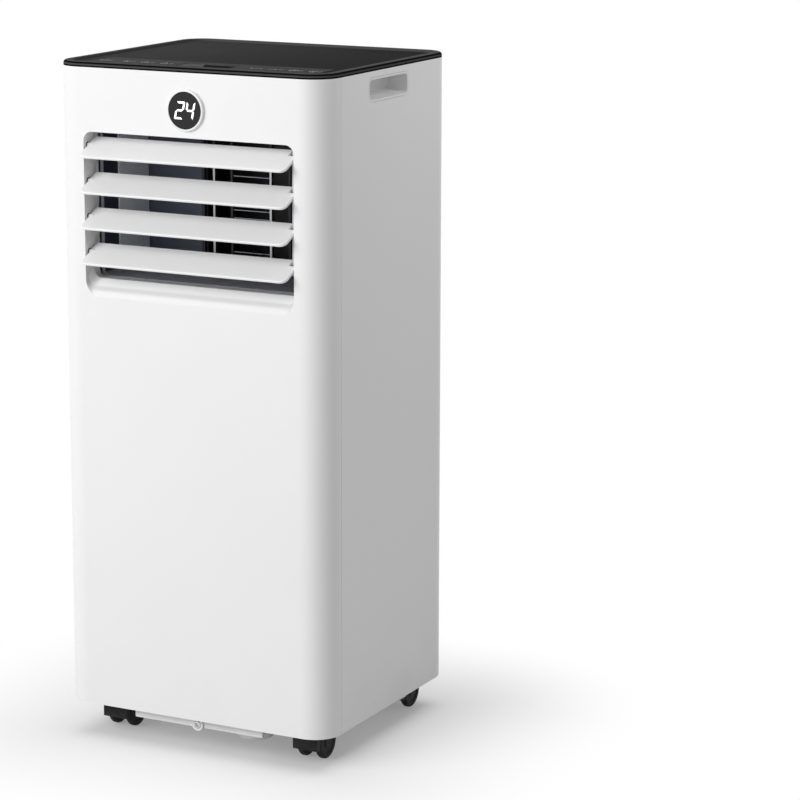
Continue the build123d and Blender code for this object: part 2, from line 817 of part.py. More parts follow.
with BuildPart() as base_pan:
    with BuildSketch(level(sump_bottom)):
        Rectangle(2 * sump_x, 2 * arm_y)
        Rectangle(2 * arm_x, 2 * sump_y)
    extrude(amount=deck_top - sump_bottom)
    with BuildSketch(level(deck_z)):
        RectangleRounded(2 * base_half_x, 2 * base_half_y, inner_radius - fit)
    extrude(amount=rim_height)
    rod(
        "Z",
        (bulge_x, front_y + bulge_setback, sump_bottom - bulge_drop),
        bulge_radius,
        bulge_drop + base_wall,
    )
    fillet(base_pan.edges().sort_by(Axis.Z)[0], bulge_round)
    slab((-arm_x, arm_x), (-sump_y, -sump_y + base_wall), (sump_bottom - lip_drop, sump_floor))
    with BuildSketch(level(deck_top)):
        RectangleRounded(
            2 * (base_half_x - base_wall), 2 * (base_half_y - base_wall), inner_radius - fit - base_wall
        )
    extrude(amount=rim_height, mode=Mode.SUBTRACT)
    with BuildSketch(level(sump_floor)):
        Rectangle(2 * (sump_x - base_wall), 2 * (arm_y - base_wall))
        Rectangle(2 * (arm_x - base_wall), 2 * (sump_y - base_wall))
    extrude(amount=deck_z, mode=Mode.SUBTRACT)
    rod("Y", (0, boss_y, boss_z), foot_boss_radius, foot_boss_proud + screw_length + base_wall)
    add(bulge_hollow.part, mode=Mode.SUBTRACT)
    for x in (-stem_x, stem_x):
        for y in (-stem_y, stem_y):
            rod("Z", (x, y, deck_z), boss_radius, boss_height)
            rod(
                "Z",
                (x, y, 0),
                stem_radius + run + sleeve_wall + snug,
                boss_top - boss_wall,
                mode=Mode.SUBTRACT,
            )
    rod("Z", (float_x, float_y, sump_bottom), float_stem_radius, base_wall + float_stem)
    rod(
        "Y",
        (drain_x, sump_y - base_wall, sump_floor + drain_rise),
        drain_radius,
        back_y - sump_y + base_wall + drain_reach,
    )
    rod(
        "Y",
        (drain_x, sump_y - 2 * base_wall, sump_floor + drain_rise),
        drain_bore,
        depth,
        mode=Mode.SUBTRACT,
    )
    rod("Y", (0, boss_y, boss_z), screw_radius + snug, screw_length, mode=Mode.SUBTRACT)
    for x, z in screw_places[:2]:
        rod("Y", (x, base_half_y - 2 * base_wall, z), screw_radius + snug, depth, mode=Mode.SUBTRACT)
save(base_pan, "base_pan")

# Caster sockets: steel sleeves in the base pan's bosses
with BuildPart() as caster_sockets:
    for x in (-stem_x, stem_x):
        for y in (-stem_y, stem_y):
            rod("Z", (x, y, deck_z), stem_radius + run + sleeve_wall, boss_height - boss_wall)
            rod("Z", (x, y, 0), stem_radius + run, 2 * body_top, mode=Mode.SUBTRACT)
save(caster_sockets, "caster_sockets")

# Casters: a hood that swivels on its stem and a pair of wheels on one axle that trails behind it
caster_corners = {
    "front_left": (-stem_x, -stem_y),
    "front_right": (stem_x, -stem_y),
    "rear_left": (-stem_x, stem_y),
    "rear_right": (stem_x, stem_y),
}
collar_top = deck_z - swivel_gap
for corner, (x, y) in caster_corners.items():
    axle_y = y + caster_trail
    with BuildPart() as caster_hood:
        with BuildSketch(across(x - hood_half)):
            with Locations((axle_y, wheel_radius)):
                Circle(hood_radius)
            with Locations((axle_y, 0)):
                Rectangle(4 * hood_radius, 2 * wheel_radius, mode=Mode.SUBTRACT)
            with Locations(((y - hood_front + axle_y) / 2, (hood_low + hood_top) / 2)):
                Rectangle(axle_y - y + hood_front, hood_top - hood_low)
        extrude(amount=2 * hood_half)
        fillet(caster_hood.edges().filter_by(Axis.X).sort_by(Axis.Y)[:2], hood_round)
        with BuildSketch(across(x - web_half)):
            with Locations((axle_y, wheel_radius)):
                Circle(wheel_radius - 2 * hood_shell)
        extrude(amount=2 * web_half)
        for low in (x + web_half, x - hood_half - 1):
            rod(
                "X",
                (low, axle_y, wheel_radius),
                wheel_radius + hood_gap,
                hood_half - web_half + 1,
                mode=Mode.SUBTRACT,
            )
        rod("X", (x - hood_half, axle_y, wheel_radius), axle_radius + run, 2 * hood_half, mode=Mode.SUBTRACT)
        rod("Z", (x, y, hood_top - hood_shell), stem_collar_radius, collar_top - hood_top + hood_shell)
        rod("Z", (x, y, collar_top - hood_shell), stem_radius, stem_length)
    save(caster_hood, f"caster_hood_{corner}")

    with BuildPart() as caster_wheels:
        for side in (-1, 1):
            inner = x + side * (web_half + wheel_side_gap)
            outer = inner + side * wheel_width
            low = min(inner, outer)
            rod("X", (low, axle_y, wheel_radius), wheel_radius, wheel_width)
            tread = caster_wheels.edges().filter_by(GeomType.CIRCLE).filter_by(
                lambda edge: abs(edge.radius - wheel_radius) < run
                and low - run < edge.center().X < low + wheel_width + run
            )
            fillet(tread, wheel_round)
            dish = min(outer, outer - side * wheel_dish)
            rod("X", (dish, axle_y, wheel_radius), wheel_dish_radius, wheel_dish, mode=Mode.SUBTRACT)
            rod("X", (dish, axle_y, wheel_radius), wheel_hub_radius, wheel_dish)
        rod(
            "X",
            (x - hood_half, axle_y, wheel_radius),
            axle_radius,
            2 * hood_half,
        )
    save(caster_wheels, f"caster_wheels_{corner}")

# Filter cover: a grille that pulls off the back, with the filter screen behind it
with BuildPart() as filter_cover:
    with BuildSketch(facing_front(back_y - filter_thick)):
        with Locations((0, filter_z)):
            RectangleRounded(filter_width, filter_height, filter_radius)
    extrude(amount=-filter_thick)
    lip_width = filter_width - 2 * filter_lip / 2
    lip_tall = filter_height - 2 * filter_lip / 2
    with BuildSketch(facing_front(back_y - filter_thick - filter_lip)):
        with Locations((0, filter_z)):
            Rectangle(lip_width, lip_tall)
            Rectangle(lip_width - 2 * wall, lip_tall - 2 * wall, mode=Mode.SUBTRACT)
    extrude(amount=-filter_lip)
    slot_width = filter_width / 2 - 1.5 * filter_slot_margin
    slot_span = filter_height - 2 * filter_slot_margin - pull_height
    with BuildSketch(facing_front(back_y - 2 * filter_thick)):
        with Locations((0, filter_z - pull_height)):
            with GridLocations(
                slot_width + filter_slot_margin, slot_span / filter_slot_rows, 2, filter_slot_rows
            ):
                SlotOverall(slot_width, filter_slot_height)
        with Locations((0, filter_top - filter_slot_margin)):
            SlotOverall(pull_width, pull_height)
    extrude(amount=-3 * filter_thick, mode=Mode.SUBTRACT)
save(filter_cover, "filter_cover")

screen_width = lip_width - 2 * wall - 2 * fit
screen_height = lip_tall - 2 * wall - 2 * fit
screen_y = back_y - filter_thick - screen_thick
with BuildPart() as filter_screen:
    with BuildSketch(facing_front(screen_y)):
        with Locations((0, filter_z)):
            Rectangle(screen_width, screen_height)
            Rectangle(screen_width - 2 * screen_frame, screen_height - 2 * screen_frame, mode=Mode.SUBTRACT)
            rib_pitch = screen_height / (screen_ribs + 1)
            with GridLocations(0, rib_pitch, 1, screen_ribs):
                Rectangle(screen_width - screen_frame, screen_rib)
            Rectangle(screen_rib, screen_height - screen_frame)
    extrude(amount=-screen_thick)
    with BuildSketch(facing_front(screen_y)):
        with Locations((0, filter_z)):
            Rectangle(screen_width - screen_frame, screen_height - screen_frame)
    extrude(amount=-screen_sheet)
save(filter_screen, "filter_screen")

# Exhaust port: a round collar on a square flange, which takes the outlet pipe of the hot half
with BuildPart() as exhaust_port:
    collar_start = inner_back - exhaust_inside
    collar_length = back_y + exhaust_reach - collar_start
    rod("Y", (exhaust_x, collar_start, exhaust_z), exhaust_radius + exhaust_wall, collar_length)
    with BuildSketch(facing_front(back_y)):
        with Locations((exhaust_x, exhaust_z)):
            RectangleRounded(exhaust_flange, exhaust_flange, exhaust_flange_round)
    extrude(amount=-exhaust_flange_thick)
    rod("Y", (exhaust_x, -depth, exhaust_z), exhaust_radius, 2 * depth, mode=Mode.SUBTRACT)
save(exhaust_port, "exhaust_port")

# Cord gland
with BuildPart() as cord_gland:
    gland_start = inner_back - gland_inside
    rod("Y", (gland_x, gland_start, gland_z), gland_bore + gland_wall, back_y + gland_reach - gland_start)
    rod("Y", (gland_x, back_y, gland_z), gland_flange, gland_flange_thick)
    rod("Y", (gland_x, -depth, gland_z), gland_bore, 2 * depth, mode=Mode.SUBTRACT)
save(cord_gland, "cord_gland")

# Drain plug of the sump and cap of the upper drain
with BuildPart() as lower_drain_plug:
    plug_y = back_y + drain_reach
    plug_z = sump_floor + drain_rise
    rod("Y", (drain_x, plug_y - plug_length, plug_z), drain_bore - run, plug_length)
    rod("Y", (drain_x, plug_y, plug_z), plug_head_radius, plug_head)
save(lower_drain_plug, "lower_drain_plug")

upper_drain_z = tray_top + upper_drain_rise
upper_drain_end = back_y + upper_drain_reach
with BuildPart() as upper_drain_cap:
    cap_radius = upper_drain_radius + run + cap_wall
    rod("Y", (upper_drain_x, upper_drain_end - cap_length, upper_drain_z), cap_radius, cap_length + cap_wall)
    rod(
        "Y",
        (upper_drain_x, upper_drain_end - cap_length, upper_drain_z),
        upper_drain_radius + run,
        cap_length,
        mode=Mode.SUBTRACT,
    )
save(upper_drain_cap, "upper_drain_cap")

# Drip tray between the cold and the hot half, with the upper drain spigot and a way through for the pipes
with BuildPart() as drip_tray:
    with BuildSketch(level(tray_z)):
        RectangleRounded(2 * base_half_x, 2 * base_half_y, inner_radius - fit)
    extrude(amount=tray_plate + tray_rim)
    with BuildSketch(level(tray_top)):
        RectangleRounded(
            2 * (base_half_x - base_wall), 2 * (base_half_y - base_wall), inner_radius - fit - base_wall
        )
    extrude(amount=tray_rim, mode=Mode.SUBTRACT)
    slab(
        (-width, -side_x + pipe_notch_width),
        (pipe_notch_front, back_y - (depth / 2 - pipe_notch_back)),
        (0, body_top),
        mode=Mode.SUBTRACT,
    )
    spigot_start = base_half_y - base_wall
    rod(
        "Y",
        (upper_drain_x, spigot_start, upper_drain_z),
        upper_drain_radius,
        upper_drain_end - spigot_start,
    )
    rod(
        "Y",
        (upper_drain_x, spigot_start - base_wall, upper_drain_z),
        upper_drain_bore,
        depth,
        mode=Mode.SUBTRACT,
    )
    for x, z in screw_places[2:]:
        rod("Y", (x, base_half_y - 2 * base_wall, z), screw_radius + snug, depth, mode=Mode.SUBTRACT)
save(drip_tray, "drip_tray")

# Screws: two rows in the back and one up into the foot boss of the base pan
with BuildPart() as cabinet_screws:
    for x, z in screw_places:
        rod("Y", (x, back_y, z), screw_head_radius, screw_head)
        rod("Y", (x, back_y - screw_length, z), screw_radius, screw_length + screw_head / 2)
    rod("Y", (0, boss_y - screw_head / 2, boss_z), screw_head_radius, screw_head / 2)
    rod("Y", (0, boss_y - screw_head / 4, boss_z), screw_radius, screw_length)
save(cabinet_screws, "cabinet_screws")


# Cold half: evaporator, its blower, and the electrical box on the tray
with BuildPart() as evaporator_coil:
    slab((-coil_half, coil_half), (evaporator_front, evaporator_back), (tray_top, evaporator_top))
    tube_rows = int((evaporator_top - tray_top) / tube_pitch) - 1
    for row in range(tube_rows):
        z = tray_top + tube_pitch * (row + 1)
        tube_y = (evaporator_front + evaporator_back) / 2
        rod("X", (-coil_half - tube_stub, tube_y, z), tube_radius, 2 * (coil_half + tube_stub))
save(evaporator_coil, "evaporator_coil")

upper_chamber = [
    (mouth_left, mouth_high),
    (mouth_right, mouth_high),
    (mouth_right, mouth_low),
    (upper_fan_x + throat_across * upper_scroll_radius, upper_fan_z - throat_below * upper_scroll_radius),
    (upper_fan_x, upper_fan_z),
    (upper_fan_x - upper_scroll_radius, upper_fan_z),
]
with BuildPart() as upper_scroll:
    with BuildSketch(facing_front(upper_scroll_front)):
        with Locations((upper_fan_x, upper_fan_z)):
            Circle(upper_scroll_radius)
        Polygon(*upper_chamber, align=None)
        offset(amount=scroll_wall)
    extrude(amount=-upper_scroll_depth)
    with BuildSketch(facing_front(upper_scroll_front + scroll_wall)):
        with Locations((upper_fan_x, upper_fan_z)):
            Circle(upper_scroll_radius)
        Polygon(*upper_chamber, align=None)
    extrude(amount=-(upper_scroll_depth - 2 * scroll_wall), mode=Mode.SUBTRACT)
    slab(
        (mouth_left, mouth_right),
        (-depth, upper_scroll_front + 2 * scroll_wall),
        (mouth_low, mouth_high),
        mode=Mode.SUBTRACT,
    )
    rod(
        "Y",
        (upper_fan_x, upper_scroll_front, upper_fan_z),
        shaft_radius + shaft_gap,
        2 * scroll_wall,
        mode=Mode.SUBTRACT,
    )
    rod(
        "Y",
        (upper_fan_x, upper_scroll_back - 2 * scroll_wall, upper_fan_z),
        upper_inlet_radius,
        depth,
        mode=Mode.SUBTRACT,
    )
    for x in (upper_fan_x - scroll_foot_spread, upper_fan_x + scroll_foot_spread):
        reach = upper_scroll_radius + scroll_wall
        foot_z = upper_fan_z - (reach**2 - (scroll_foot_spread + scroll_foot_width / 2) ** 2) ** 0.5
        slab(
            (x - scroll_foot_width / 2, x + scroll_foot_width / 2),
            (upper_scroll_front, upper_scroll_front + scroll_foot_width),
            (tray_top, foot_z),
        )
    rod(
        "Y",
        (upper_fan_x, upper_scroll_front + scroll_wall, upper_fan_z),
        upper_scroll_radius,
        upper_scroll_depth - 2 * scroll_wall,
        mode=Mode.SUBTRACT,
    )
save(upper_scroll, "upper_scroll")


# Blower wheels: a back disc with a hub, a ring of forward-curved blades and a front ring
blowers = {
    "upper": (upper_fan_x, upper_fan_z, upper_scroll_front, upper_wheel_radius, upper_wheel_width),
    "lower": (lower_fan_x, lower_fan_z, lower_scroll_front, lower_wheel_radius, lower_wheel_width),
}
for half_name, (x, z, scroll_start, radius, wheel_span) in blowers.items():
    wheel_start = scroll_start + scroll_wall + wheel_gap
    with BuildPart() as fan_wheel:
        rod("Y", (x, wheel_start, z), radius, fan_disc)
        rod("Y", (x, wheel_start, z), fan_hub_radius, fan_hub_length)
        with BuildSketch(facing_front(wheel_start)):
            with Locations((x, z)):
                with PolarLocations(radius - blade_chord / 2, fan_blades):
                    Rectangle(blade_chord, blade_thick, rotation=blade_angle)
        extrude(amount=-wheel_span)
        with BuildSketch(facing_front(wheel_start + wheel_span - fan_ring)):
            with Locations((x, z)):
                Circle(radius)
                Circle(radius - blade_chord, mode=Mode.SUBTRACT)
        extrude(amount=-fan_ring)
        rod("Y", (x, -depth, z), shaft_radius + snug, 2 * depth, mode=Mode.SUBTRACT)
    save(fan_wheel, f"{half_name}_fan_wheel")

    with BuildPart() as fan_shaft:
        shaft_start = scroll_start - motor_shaft_depth
        rod("Y", (x, shaft_start, z), shaft_radius, wheel_start + fan_hub_length - shaft_start)
    save(fan_shaft, f"{half_name}_fan_shaft")

motors = {
    "upper": (upper_fan_x, upper_fan_z, upper_scroll_front, upper_motor_radius, upper_motor_length),
    "lower": (lower_fan_x, lower_fan_z, lower_scroll_front, lower_motor_radius, lower_motor_length),
}
for half_name, (x, z, scroll_start, radius, length) in motors.items():
    with BuildPart() as fan_motor:
        rod("Y", (x, scroll_start - length, z), radius, length)
        fillet(fan_motor.edges().sort_by(Axis.Y)[0], motor_round)
        rod(
            "Y",
            (x, scroll_start - motor_shaft_depth - 1, z),
            shaft_radius + shaft_gap,
            depth,
            mode=Mode.SUBTRACT,
        )
    save(fan_motor, f"{half_name}_fan_motor")

with BuildPart() as electrical_box:
    box_front = inner_front + electrical_box_setback
    slab(
        (electrical_box_x - electrical_box_width / 2, electrical_box_x + electrical_box_width / 2),
        (box_front, box_front + electrical_box_depth),
        (tray_top, tray_top + electrical_box_height),
    )
    fillet(electrical_box.edges().filter_by(Axis.Z), electrical_box_round)
save(electrical_box, "electrical_box")

# Hot half: condenser on the socket bosses, its blower and the duct to the exhaust port
with BuildPart() as condenser_coil:
    slab((-coil_half, coil_half), (condenser_front, condenser_back), (boss_top, condenser_top))
    tube_rows = int(condenser_height / tube_pitch) - 1
    for row in range(tube_rows):
        z = boss_top + tube_pitch * (row + 1)
        tube_y = (condenser_front + condenser_back) / 2
        rod("X", (-coil_half - tube_stub, tube_y, z), tube_radius, 2 * (coil_half + tube_stub))
save(condenser_coil, "condenser_coil")

with BuildPart() as lower_scroll:
    throat_x = lower_fan_x + lower_scroll_radius / 2
    throat_z = (lower_fan_z + condenser_top) / 2
    throat_height = condenser_top - lower_fan_z
    with BuildSketch(facing_front(lower_scroll_front)):
        with Locations((lower_fan_x, lower_fan_z)):
            Circle(lower_scroll_radius + scroll_wall)
        with Locations((throat_x, throat_z)):
            Rectangle(lower_scroll_radius + 2 * scroll_wall, throat_height)
    extrude(amount=-lower_scroll_depth)
    with BuildSketch(facing_front(lower_scroll_front + scroll_wall)):
        with Locations((lower_fan_x, lower_fan_z)):
            Circle(lower_scroll_radius)
        with Locations((throat_x, throat_z)):
            Rectangle(lower_scroll_radius, throat_height)
    extrude(amount=-(lower_scroll_depth - 2 * scroll_wall), mode=Mode.SUBTRACT)
    rod(
        "Y",
        (lower_fan_x, lower_scroll_front, lower_fan_z),
        shaft_radius + shaft_gap,
        2 * scroll_wall,
        mode=Mode.SUBTRACT,
    )
    rod(
        "Y",
        (lower_fan_x, lower_scroll_back - 2 * scroll_wall, lower_fan_z),
        lower_inlet_radius,
        depth,
        mode=Mode.SUBTRACT,
    )
save(lower_scroll, "lower_scroll")

with BuildPart() as exhaust_duct:
    duct_x = (exhaust_x - exhaust_duct_half, exhaust_x + exhaust_duct_half)
    duct_y = (lower_scroll_front, inner_back - fit)
    duct_z = (exhaust_duct_bottom, exhaust_duct_top)
    slab(duct_x, duct_y, duct_z)
    slab(
        (duct_x[0] + exhaust_duct_wall, duct_x[1] - exhaust_duct_wall),
        (duct_y[0] + exhaust_duct_wall, depth),
        (duct_z[0] + exhaust_duct_wall, duct_z[1] - exhaust_duct_wall),
        mode=Mode.SUBTRACT,
    )
    slab(
        (lower_fan_x, lower_fan_x + lower_scroll_radius),
        (lower_scroll_front + scroll_wall, lower_scroll_back - scroll_wall),
        (0, duct_z[0] + 2 * exhaust_duct_wall),
        mode=Mode.SUBTRACT,
    )
save(exhaust_duct, "exhaust_duct")

# Compressor on its rubber feet, with the accumulator strapped in front of it
with BuildPart() as compressor:
    rod("Z", (compressor_x, 0, pump_body_z), compressor_radius, compressor_height)
    fillet(compressor.edges().filter_by(GeomType.CIRCLE), compressor_dome)
    rod(
        "Z",
        (compressor_x, 0, pump_z),
        compressor_neck_radius,
        compressor_plate + compressor_neck + compressor_dome,
    )
    rod("Z", (compressor_x, 0, pump_z), compressor_plate_radius, compressor_plate)
save(compressor, "compressor")

with BuildPart() as compressor_feet:
    with BuildSketch(level(sump_floor)):
        with Locations((compressor_x, 0)):
            with PolarLocations(foot_circle, foot_count):
                Circle(foot_radius)
                Circle(foot_bore, mode=Mode.SUBTRACT)
    extrude(amount=compressor_foot)
save(compressor_feet, "compressor_feet")

accumulator_y = -(compressor_radius + accumulator_gap + accumulator_radius)
accumulator_top = accumulator_low + accumulator_height
with BuildPart() as accumulator:
    rod("Z", (compressor_x, accumulator_y, accumulator_low), accumulator_radius, accumulator_height)
    fillet(accumulator.edges().filter_by(GeomType.CIRCLE), accumulator_dome)
    strap_z = (accumulator_low + accumulator_top) / 2
    slab(
        (compressor_x - strap_width / 2, compressor_x + strap_width / 2),
        (accumulator_y, -compressor_radius - fit),
        (strap_z - strap_height / 2, strap_z + strap_height / 2),
    )
save(accumulator, "accumulator")

# Refrigerant pipes: hot gas to the condenser, liquid to the evaporator, cold gas back to the accumulator
coil_end = -coil_half - tube_stub
condenser_y = (condenser_front + condenser_back) / 2
evaporator_y = (evaporator_front + evaporator_back) / 2
discharge_z = pump_top + pipe_rise
suction_z = discharge_z + pipe_rise
discharge_in = boss_top + tube_pitch
liquid_out = boss_top + 3 * tube_pitch
liquid_in = tray_top + 2 * tube_pitch
suction_out = tray_top + 3 * tube_pitch
discharge_y = compressor_radius + discharge_radius + pipe_clear
suction_y = pipe_notch_front + suction_radius + pipe_notch_clear
routes = {
    "discharge_pipe": (
        discharge_radius,
        [
            (compressor_x, 0, pump_top),
            (compressor_x, 0, discharge_z),
            (compressor_x, discharge_y, discharge_z),
            (pipe_x, discharge_y, discharge_z),
            (pipe_x, discharge_y, discharge_in),
            (pipe_x, condenser_y, discharge_in),
            (coil_end, condenser_y, discharge_in),
        ],
    ),
    "suction_pipe": (
        suction_radius,
        [
            (compressor_x, accumulator_y, accumulator_top),
            (compressor_x, accumulator_y, suction_z),
            (pipe_x, accumulator_y, suction_z),
            (pipe_x, suction_y, suction_z),
            (pipe_x, suction_y, suction_out),
            (pipe_x, evaporator_y, suction_out),
            (coil_end, evaporator_y, suction_out),
        ],
    ),
    "liquid_pipe": (
        liquid_radius,
        [
            (coil_end, condenser_y, liquid_out),
            (pipe_x, condenser_y, liquid_out),
            (pipe_x, condenser_y, liquid_in),
            (pipe_x, evaporator_y, liquid_in),
            (coil_end, evaporator_y, liquid_in),
        ],
    ),
}
for name, (radius, points) in routes.items():
    with BuildPart() as pipe:
        with BuildLine() as route:
            FilletPolyline(*points, radius=pipe_bend)
        with BuildSketch(Plane(route.line @ 0, z_dir=route.line % 0)):
            Circle(radius)
        sweep()
        if name == "liquid_pipe":
            drier_z = (liquid_out + liquid_in - drier_length) / 2
            rod("Z", (pipe_x, condenser_y, drier_z), drier_radius, drier_length)
            drier_rims = pipe.edges().filter_by(GeomType.CIRCLE).filter_by(
                lambda edge: abs(edge.radius - drier_radius) < run
            )
            fillet(drier_rims, drier_taper)
    save(pipe, name)

# Splash drive: a small motor on a bracket turns a paddle wheel that dips into the sump's water
splash_motor_y = splash_y + splash_wheel_thick + splash_gap
with BuildPart() as splash_motor:
    rod("Y", (splash_x, splash_motor_y, splash_z), splash_motor_radius, splash_motor_length)
    slab(
        (splash_x - splash_motor_radius / 2, splash_x + splash_motor_radius / 2),
        (splash_motor_y + splash_gap, splash_motor_y + splash_motor_length - splash_gap),
        (sump_floor, splash_z),
    )
    rod(
        "Y",
        (splash_x, splash_motor_y, splash_z),
        splash_shaft + run,
        splash_motor_length / 2,
        mode=Mode.SUBTRACT,
    )
save(splash_motor, "splash_motor")

with BuildPart() as splash_wheel:
    paddle = splash_wheel_radius - splash_hub_radius + splash_gap
    with BuildSketch(facing_front(splash_y)):
        with Locations((splash_x, splash_z)):
            Circle(splash_hub_radius)
            with PolarLocations(splash_wheel_radius - paddle / 2, splash_paddles):
                Rectangle(paddle, paddle_thick)
    extrude(amount=-splash_wheel_thick)
    rod("Y", (splash_x, splash_y, splash_z), splash_shaft, splash_wheel_thick + splash_motor_length / 2)
save(splash_wheel, "splash_wheel")

# Float of the full-tank switch, on its stem in the sump
with BuildPart() as water_float:
    float_z = sump_floor + float_low
    rod("Z", (float_x, float_y, float_z), float_radius, float_height)
    fillet(water_float.edges().filter_by(GeomType.CIRCLE), float_round)
    rod("Z", (float_x, float_y, 0), float_stem_radius + fit, body_top, mode=Mode.SUBTRACT)
save(water_float, "water_float")
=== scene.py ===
"""Looks of a portable air conditioner: finishes, small fittings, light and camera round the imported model."""

import math

import bmesh
import bpy
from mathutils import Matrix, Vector


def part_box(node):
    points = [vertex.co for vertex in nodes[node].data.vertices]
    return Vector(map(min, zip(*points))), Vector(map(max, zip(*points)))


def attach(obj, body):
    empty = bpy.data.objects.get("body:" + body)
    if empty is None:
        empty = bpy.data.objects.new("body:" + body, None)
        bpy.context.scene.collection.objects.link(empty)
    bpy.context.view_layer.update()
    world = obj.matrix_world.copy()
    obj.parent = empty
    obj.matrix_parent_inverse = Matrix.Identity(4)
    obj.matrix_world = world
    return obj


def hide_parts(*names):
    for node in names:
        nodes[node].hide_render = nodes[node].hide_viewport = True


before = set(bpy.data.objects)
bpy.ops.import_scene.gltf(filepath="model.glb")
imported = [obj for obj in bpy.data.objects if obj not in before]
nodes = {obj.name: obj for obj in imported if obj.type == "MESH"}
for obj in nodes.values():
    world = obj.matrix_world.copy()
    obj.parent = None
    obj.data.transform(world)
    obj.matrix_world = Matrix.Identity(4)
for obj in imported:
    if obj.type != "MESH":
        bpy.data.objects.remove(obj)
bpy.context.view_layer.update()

MM = 0.001
PURE_WHITE = (1.0, 1.0, 1.0, 1.0)


# Shader building: a wire is one socket, and arithmetic on wires adds Math nodes


class Wire:
    def __init__(self, graph, socket):
        self.graph = graph
        self.socket = socket

    def _math(self, operation, first, second):
        return self.graph.add("Math", {"operation": operation}, {0: first, 1: second})

    def __add__(self, other):
        return self._math("ADD", self, other)

    def __radd__(self, other):
        return self._math("ADD", other, self)

    def __sub__(self, other):
        return self._math("SUBTRACT", self, other)

    def __rsub__(self, other):
        return self._math("SUBTRACT", other, self)

    def __mul__(self, other):
        return self._math("MULTIPLY", self, other)

    def __rmul__(self, other):
        return self._math("MULTIPLY", other, self)

    def __pow__(self, other):
        return self._math("POWER", self, other)

    def __gt__(self, other):
        return self._math("GREATER_THAN", self, other)

    def __lt__(self, other):
        return self._math("LESS_THAN", self, other)

    def __abs__(self):
        return self._math("ABSOLUTE", self, 0.0)

    def at_most(self, other):
        return self._math("MINIMUM", self, other)

    def at_least(self, other):
        return self._math("MAXIMUM", self, other)

    def wave(self):
        return self._math("SINE", self, 0.0)

    def between(self, low, high):
        return (self > low) * (self < high)


class Graph:
    """A shader tree, with the one method that adds its nodes."""

    def __init__(self, tree):
        self.tree = tree

    def add(self, kind, settings, sockets, output=0):
        node = self.tree.nodes.new("ShaderNode" + kind)
        for name, value in settings.items():
            setattr(node, name, value)
        for name, value in sockets.items():
            if isinstance(value, Wire):
                self.tree.links.new(value.socket, node.inputs[name])
            else:
                node.inputs[name].default_value = value
        return Wire(self, node.outputs[output])

    def rays_that_see(self):
        """1 for rays from the camera, mirrors and glass, which see the white stage, and 0 for other rays."""
        kinds = ("Is Camera Ray", "Is Glossy Ray", "Is Transmission Ray")
        straight, mirrored, through = (self.add("LightPath", {}, {}, kind) for kind in kinds)
        return straight.at_least(mirrored).at_least(through)

    def surface(self, shader, output):
        self.tree.links.new(shader.socket, self.tree.nodes[output].inputs["Surface"])


class Finish(Graph):
    """A material whose Principled shader is fed by wires; fixed values go straight on its sockets."""

    def __init__(self, name, **fixed):
        self.material = bpy.data.materials.new(name)
        self.material.use_nodes = True
        super().__init__(self.material.node_tree)
        self.shader = self.tree.nodes["Principled BSDF"]
        for socket, value in fixed.items():
            self.shader.inputs[socket.replace("_", " ")].default_value = value
        self.place = self.add("TexCoord", {}, {}, "Object")
        self.x, self.y, self.z = (self.add("SeparateXYZ", {}, {0: self.place}, axis) for axis in range(3))

    def facing_up(self):
        """1 where the surface faces up, 0 on upright sides and -1 underneath."""
        return self.add("SeparateXYZ", {}, {0: self.add("TexCoord", {}, {}, "Normal")}, 2)

    def noise(self, scale, detail=2.0, roughness=0.5, place=None):
        sockets = {"Vector": place or self.place, "Scale": scale, "Detail": detail, "Roughness": roughness}
        return self.add("TexNoise", {}, sockets)

    def stretched(self, factors):
        return self.add("VectorMath", {"operation": "MULTIPLY"}, {0: self.place, 1: factors}, "Vector")

    def ramp(self, value, low, high):
        """0 below low, 1 above high and smooth between them."""
        settings = {"interpolation_type": "SMOOTHSTEP"}
        return self.add("MapRange", settings, {"Value": value, "From Min": low, "From Max": high})

    def mix(self, factor, first, second):
        colours = [c if isinstance(c, Wire) else (*c, 1.0) for c in (first, second)]
        sockets = {0: factor, 6: colours[0], 7: colours[1]}
        return self.add("Mix", {"data_type": "RGBA"}, sockets, 2)

    def bump(self, height, strength, distance):
        return self.add("Bump", {}, {"Strength": strength, "Distance": distance, "Height": height}, "Normal")

    def feed(self, **wires):
        for socket, wire in wires.items():
            self.tree.links.new(wire.socket, self.shader.inputs[socket.replace("_", " ")])
        return self.material


def scaled(colour, factor):
    return tuple(min(1.0, channel * factor) for channel in colour)


# Finishes that several pieces share


def moulded(name, colour, roughness, grain, shade, grain_scale=1500.0, dusty=0.1, shaped=None, **fixed):
    """Moulded plastic: a fine eroded grain, slow drifts of tone and gloss, and a little dust low down."""
    f = Finish(name, **fixed)
    slow = f.noise(7.0)
    specks = f.noise(260.0, detail=3.0, roughness=0.6)
    dust = (1.0 - f.ramp(f.z, 30 * MM, 160 * MM)) * f.ramp(f.noise(24.0, detail=4.0), 0.42, 0.75)
    tone = f.mix(slow, scaled(colour, 1.0 - 2.0 * shade), scaled(colour, 1.0 + shade))
    tone = f.mix(specks * shade, tone, scaled(colour, 0.8))
    tone = f.mix(dust * dusty, tone, (0.36, 0.34, 0.31))
    if shaped:
        tone = shaped(f, tone)
    gloss = roughness + 0.10 * (slow - 0.5) + 0.08 * (specks - 0.5) + 0.15 * dust
    fine = f.noise(grain_scale, roughness=0.6) + 0.6 * f.noise(grain_scale * 0.3)
    return f.feed(Base_Color=tone, Roughness=gloss, Normal=f.bump(fine, grain, 0.12 * MM))


